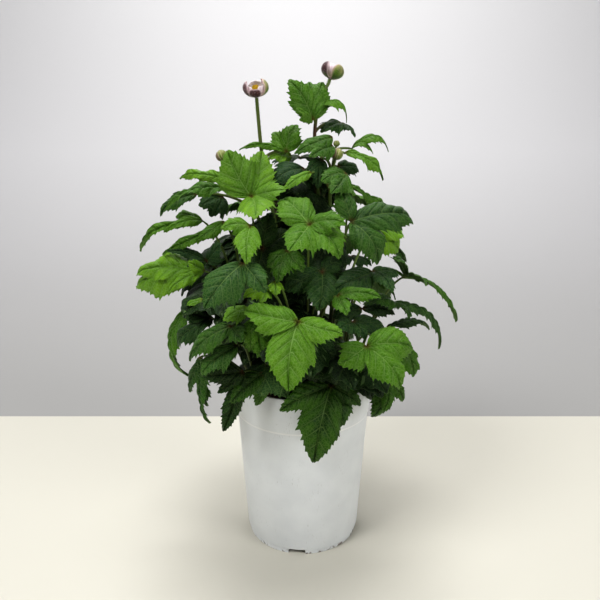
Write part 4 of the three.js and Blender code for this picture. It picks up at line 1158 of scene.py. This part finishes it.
def make_stamens(name, place, turn, radius, centre):
    """A ball of anthers on short threads round a smooth knob."""
    surface = Surface()
    knob = KNOB * radius
    foot = np.array([0, 0, centre - 0.2 * radius * BUD_SQUASH])
    for k in range(ANTHER_COUNT):
        height = 1 - 1.3 * (k + 0.5) / ANTHER_COUNT
        ring = math.sqrt(max(0.0, 1 - height * height))
        way = np.array([ring * math.cos(GOLDEN_TURN * k), ring * math.sin(GOLDEN_TURN * k), height])
        points = np.linspace(foot + way * knob, foot + way * (knob + THREAD * radius), 4)
        surface.add(*tube(place + points @ turn.T, [0.12, 0.12, 0.34, 0.3], 5), tone=0.5)
    rings = np.linspace(0.05, math.pi - 0.05, KNOB_RINGS)
    level = np.zeros(KNOB_RINGS)
    points = foot + np.column_stack([level, level, np.cos(rings) * knob])
    surface.add(*tube(place + points @ turn.T, np.sin(rings) * knob, KNOB_SIDES), tone=0.2)
    make_piece(name + "_bud_anthers", surface, [POLLEN], [name + "_bud_stamens"])


def add_closed_bud(surface, place, turn, radius, materials, draw):
    """A closed bud: three sepals, and round them three that overlap like tiles, each a little further out."""
    for i, material in enumerate(materials):
        heading = math.radians(140 + 120 * i)
        add_sepal(surface, place, turn, 0.86 * radius, heading, 1.1, 0.1, radius, 1.0, material, 0.01)
    for i, material in enumerate(materials):
        heading = math.radians((205, 325, 85)[i]) + draw.uniform(-0.1, 0.1)
        size = radius * (0.93 + 0.025 * i)
        opening = 0.32 - 0.1 * (i % 2)
        face = add_sepal(surface, place, turn, size, heading, 0.96, opening, radius, 0.95, material, 0.015)
        add_sepal_down(surface, face, place + radius * turn[:, 2], material, draw, CLOSED_BUD_HAIR_COUNT)


def make_closed_bud(node, points, radius, draw):
    """A closed bud on the end of its stem, as a piece of its own."""
    surface = Surface()
    place, turn = stem_frame(points)
    add_closed_bud(surface, place, turn, radius, (0, 1, 0), draw)
    make_piece(node + "_sepals", surface, [BUD_SKIN, YOUNG_SEPAL], [node])


# Pot
def wall_radius(height):
    """Outer radius of the pot's tapered wall."""
    return POT_FOOT_RADIUS + (POT_TOP_RADIUS - POT_FOOT_RADIUS) * height / POT_HEIGHT


def pot_outline():
    """The pot's outline as (radius, height), from the middle of its underside round the lip to its inner
    floor."""
    band_line = POT_HEIGHT - BAND_HEIGHT
    floor_top = FOOT_RING_HEIGHT + POT_WALL
    ring_outer = POT_FOOT_RADIUS - FOOT_RING_INSET
    ring_inner = ring_outer - FOOT_RING_WIDTH
    top = wall_radius(POT_HEIGHT)
    lip = LIP_ROUNDNESS
    edge = EDGE_ROUNDNESS
    return [
        (0.5, FOOT_RING_HEIGHT),
        (ring_inner, FOOT_RING_HEIGHT),
        (ring_inner, edge),
        (ring_inner + edge, 0),
        (ring_outer - edge, 0),
        (ring_outer, edge),
        (ring_outer, FOOT_RING_HEIGHT - 0.2),
        (ring_outer + 0.5, FOOT_RING_HEIGHT + 0.1),
        (wall_radius(FOOT_RING_HEIGHT) - 0.25, FOOT_RING_HEIGHT + 0.6),
        (wall_radius(WALL_START), WALL_START),
        (wall_radius(WALL_WAIST) - WAIST_HOLLOW, WALL_WAIST),
        (wall_radius(band_line) - BAND_STEP, band_line - BAND_STEP),
        (wall_radius(band_line) - 0.15, band_line - 0.1),
        (wall_radius(band_line + 0.6), band_line + 0.6),
        (wall_radius(POT_HEIGHT - lip), POT_HEIGHT - lip),
        (top - 0.3 * lip, POT_HEIGHT - 0.3 * lip),
        (top - lip, POT_HEIGHT),
        (top - POT_WALL + edge, POT_HEIGHT),
        (top - POT_WALL, POT_HEIGHT - edge),
        (wall_radius(band_line) - BAND_STEP - POT_WALL, band_line),
        (wall_radius(floor_top) - POT_WALL, floor_top),
        (0.5, floor_top),
    ]


def make_pot():
    """The moulded pot, with the notches of its foot ring and its drain holes cut out."""
    surface = Surface()
    surface.add(*turned(pot_outline(), POT_SIDES))
    pot = make_piece("moulded_pot", surface, [POT_PLASTIC], ["pot"], sharp=POT_SHARP_ANGLE)
    cuts = Surface()
    # A notch has a level top and sloping ends, and its cutter reaches past the ring on both sides
    half = FOOT_NOTCH_WIDTH / 2
    level = half - FOOT_NOTCH_SLOPE
    section = [(-half, -1), (half, -1), (level, FOOT_NOTCH_HEIGHT), (-level, FOOT_NOTCH_HEIGHT)]
    for i in range(FOOT_NOTCH_COUNT):
        turn = math.radians(FOOT_NOTCH_TURN + 360 * i / FOOT_NOTCH_COUNT - 90)
        way = np.array([math.cos(turn), math.sin(turn), 0])
        across = np.array([-way[1], way[0], 0])
        rings = []
        for step in (-6, 6):
            middle = way * (POT_FOOT_RADIUS - FOOT_RING_INSET + step)
            rings.append([middle + across * x + [0, 0, z] for x, z in section])
        cuts.add(*capped(rings))
    for i in range(DRAIN_HOLE_COUNT):
        turn = FULL_TURN * (i + 0.5) / DRAIN_HOLE_COUNT
        x = DRAIN_HOLE_CIRCLE * math.cos(turn)
        y = DRAIN_HOLE_CIRCLE * math.sin(turn)
        rod = [[x, y, FOOT_RING_HEIGHT - 1], [x, y, FOOT_RING_HEIGHT + POT_WALL + 1]]
        cuts.add(*tube(rod, [DRAIN_HOLE_RADIUS] * 2, 24))
    cutter = make_piece("pot_cuts", cuts, [])
    boolean = pot.modifiers.new("cuts", "BOOLEAN")
    boolean.object = cutter
    boolean.operation = "DIFFERENCE"
    boolean.solver = "EXACT"
    bpy.context.view_layer.update()
    shape = bpy.data.meshes.new_from_object(pot.evaluated_get(bpy.context.evaluated_depsgraph_get()))
    pot.modifiers.clear()
    pot.data = shape
    bpy.data.objects.remove(cutter)


# Potting mix
def make_soil(draw):
    """A mound of peat crumbs, with bark chips lying on it."""
    surface = Surface()
    inset = POT_WALL + BAND_STEP + SEAT_GAP
    edge = wall_radius(SOIL_TOP) - inset
    foot_radius = wall_radius(WALL_START) - inset
    turns = ring_turns(SOIL_SIDES)
    share = np.linspace(1, 0.02, SOIL_RINGS)
    radius = np.outer(edge * share, np.ones(SOIL_SIDES))
    x = radius * np.cos(turns)
    y = radius * np.sin(turns)
    height = SOIL_TOP - SOIL_MOUND * share[:, None] ** 2
    # Waves of three sizes, then a fine roughness
    for size, scale in ((0.9, 0.35), (0.5, 0.8), (0.35, 1.7)):
        height = height + size * np.sin(scale * x + 2 * scale) * np.cos(scale * 1.1 * y + scale * x * 0.4)
    height = height + draw.uniform(-0.35, 0.35, height.shape) - 0.4
    top = np.stack([x, y, height], -1)
    foot = np.column_stack([
        foot_radius * np.cos(turns), foot_radius * np.sin(turns), np.full(SOIL_SIDES, SOIL_FOOT),
    ])
    corners, faces = capped(np.concatenate([foot[None], top]))
    surface.add(corners, faces, tone=draw.uniform(0.0, 0.25, len(corners)))
    for _ in range(CRUMB_COUNT):
        heading = draw.uniform(0, FULL_TURN)
        out = edge * math.sqrt(draw.uniform(0, 0.95))
        size = draw.uniform(0.5, 2.2)
        middle = np.array([out * math.cos(heading), out * math.sin(heading), 0])
        middle[2] = SOIL_TOP - SOIL_MOUND * (out / edge) ** 2 + 0.2 * size
        lay = unit(draw.normal(size=3) * [1, 1, 0.35])
        length = size * draw.uniform(0.8, 2.0)
        points = middle + np.outer(np.linspace(-1, 1, 4), lay) * length
        radii = size * np.array([0.35, 0.8, 0.7, 0.25]) * draw.uniform(0.6, 1.0)
        corners, faces = tube(points, radii, 6)
        corners = corners + draw.uniform(-0.15, 0.15, corners.shape) * size
        surface.add(corners, faces, tone=draw.uniform(0.0, 0.8))
    make_piece("peat_mix", surface, [PEAT], ["potting_mix"])


# Everything that grows, and the pot
draws = np.random.default_rng(SEED)
make_pot()
make_soil(draws)
for tuft_name, crown_place, tuft_slot in TUFTS:
    make_tuft(tuft_name, crown_place, draws)
for stem_name, stem_points, stem_red in FLOWER_STEMS:
    make_flower_stem(stem_name, stem_points, stem_red, draws)
make_inner_foliage(draws)
# Sepals of the open buds: heading in degrees, angle of the tip from the bud's axis and half the turn that the
# sepal covers, both in radians, and for the outer ones the skin (0 purple, 1 green)
make_open_bud(
    "left", FLOWER_STEMS[0][1], LEFT_BUD_RADIUS,
    [(188, 0.85, 0.85, 0), (12, 0.6, 0.95, 1), (268, 1.4, 0.62, 0)],
    [(225, 1.15, 0.6), (312, 1.1, 0.6), (95, 0.85, 1.0)],
    draws,
)
make_open_bud(
    "tall", FLOWER_STEMS[1][1], TALL_BUD_RADIUS,
    [(195, 0.72, 0.85, 0), (325, 0.78, 1.0, 1), (80, 0.7, 0.95, 0)],
    [(252, 0.8, 0.8), (140, 0.75, 0.9), (20, 0.7, 0.9)],
    draws,
)
make_closed_bud("short_stem_bud", FLOWER_STEMS[2][1], SHORT_BUD_RADIUS, draws)
make_closed_bud("right_stem_bud", FLOWER_STEMS[3][1], RIGHT_BUD_RADIUS, draws)


# Floor, light and camera
def make_floor():
    """A plain pale floor that sweeps up to a wall far behind: cream where the pot stands, and beyond
    that a grey with painted shade, darkest beside the cream and paling with distance."""
    material, tree = new_material("painted_floor")
    place = add_node(tree, "TexCoord", out="Object")
    depth = add_node(tree, "SeparateXYZ", {"Vector": place}, out="Y")
    # Painted shade on the grey: darkest beside the cream part, fading out with distance behind it
    shade_fade_share = add_node(tree, "MapRange", {0: depth, LOW: CREAM_EDGE, HIGH: PALEST_GREY})
    grey = add_node(tree, "Mix",
                    {FACTOR: shade_fade_share, COLOUR_A: "#a2a19f", COLOUR_B: "#d5d4d5"}, COLOURS, out=MIXED)
    beyond = add_node(tree, "Math", {0: depth, 1: CREAM_EDGE}, {"operation": "GREATER_THAN"})
    colour = add_node(tree, "Mix", {FACTOR: beyond, COLOUR_A: "#d3d0c4", COLOUR_B: grey}, COLOURS, out=MIXED)
    shader = add_node(tree, "BsdfPrincipled", {"Base Color": colour, "Roughness": 0.7})
    add_node(tree, "OutputMaterial", {"Surface": shader})
    # The floor's line seen from the side: flat, a round sweep, then upright
    line = [(FLOOR_FRONT, 0.0)]
    for turn in np.linspace(0, math.pi / 2, SWEEP_STEPS):
        line.append((SWEEP_START + SWEEP_RADIUS * math.sin(turn), SWEEP_RADIUS * (1 - math.cos(turn))))
    line.append((SWEEP_START + SWEEP_RADIUS, WALL_TOP))
    corners = [(x, y, z) for y, z in line for x in (-FLOOR_HALF_WIDTH, FLOOR_HALF_WIDTH)]
    faces = [(2 * i, 2 * i + 1, 2 * i + 3, 2 * i + 2) for i in range(len(line) - 1)]
    mesh = bpy.data.meshes.new("floor")
    mesh.from_pydata(corners, [], faces)
    mesh.shade_smooth()
    mesh.materials.append(material)
    floor = put_in_scene("floor", mesh)


make_floor()
for lamp_name, lamp_place, lamp_aim, lamp_width, lamp_power in LAMPS:
    lamp = bpy.data.lights.new(lamp_name, "AREA")
    lamp.shape = "DISK"
    lamp.size = lamp_width
    lamp.energy = lamp_power
    holder = put_in_scene(lamp_name, lamp)
    holder.location = lamp_place
    holder.rotation_mode = "QUATERNION"
    holder.rotation_quaternion = (Vector(lamp_aim) - Vector(lamp_place)).to_track_quat("-Z", "Y")
    holder.visible_camera = False

sky = bpy.data.worlds.new("soft_daylight")
sky.use_nodes = True
background = sky.node_tree.nodes["Background"]
background.inputs["Color"].default_value = linear("#e9e9ec")
background.inputs["Strength"].default_value = 0.14
bpy.context.scene.world = sky
bpy.context.scene.view_settings.view_transform = "Standard"
bpy.context.scene.view_settings.look = "Medium High Contrast"

lens = bpy.data.cameras.new("photo_camera")
lens.lens = CAMERA_LENS
lens.sensor_width = CAMERA_SENSOR
camera = put_in_scene("photo_camera", lens)
camera.location = [c * MM for c in CAMERA_PLACE]
camera.rotation_euler = (math.radians(90 - CAMERA_PITCH), 0, 0)
bpy.context.scene.camera = camera
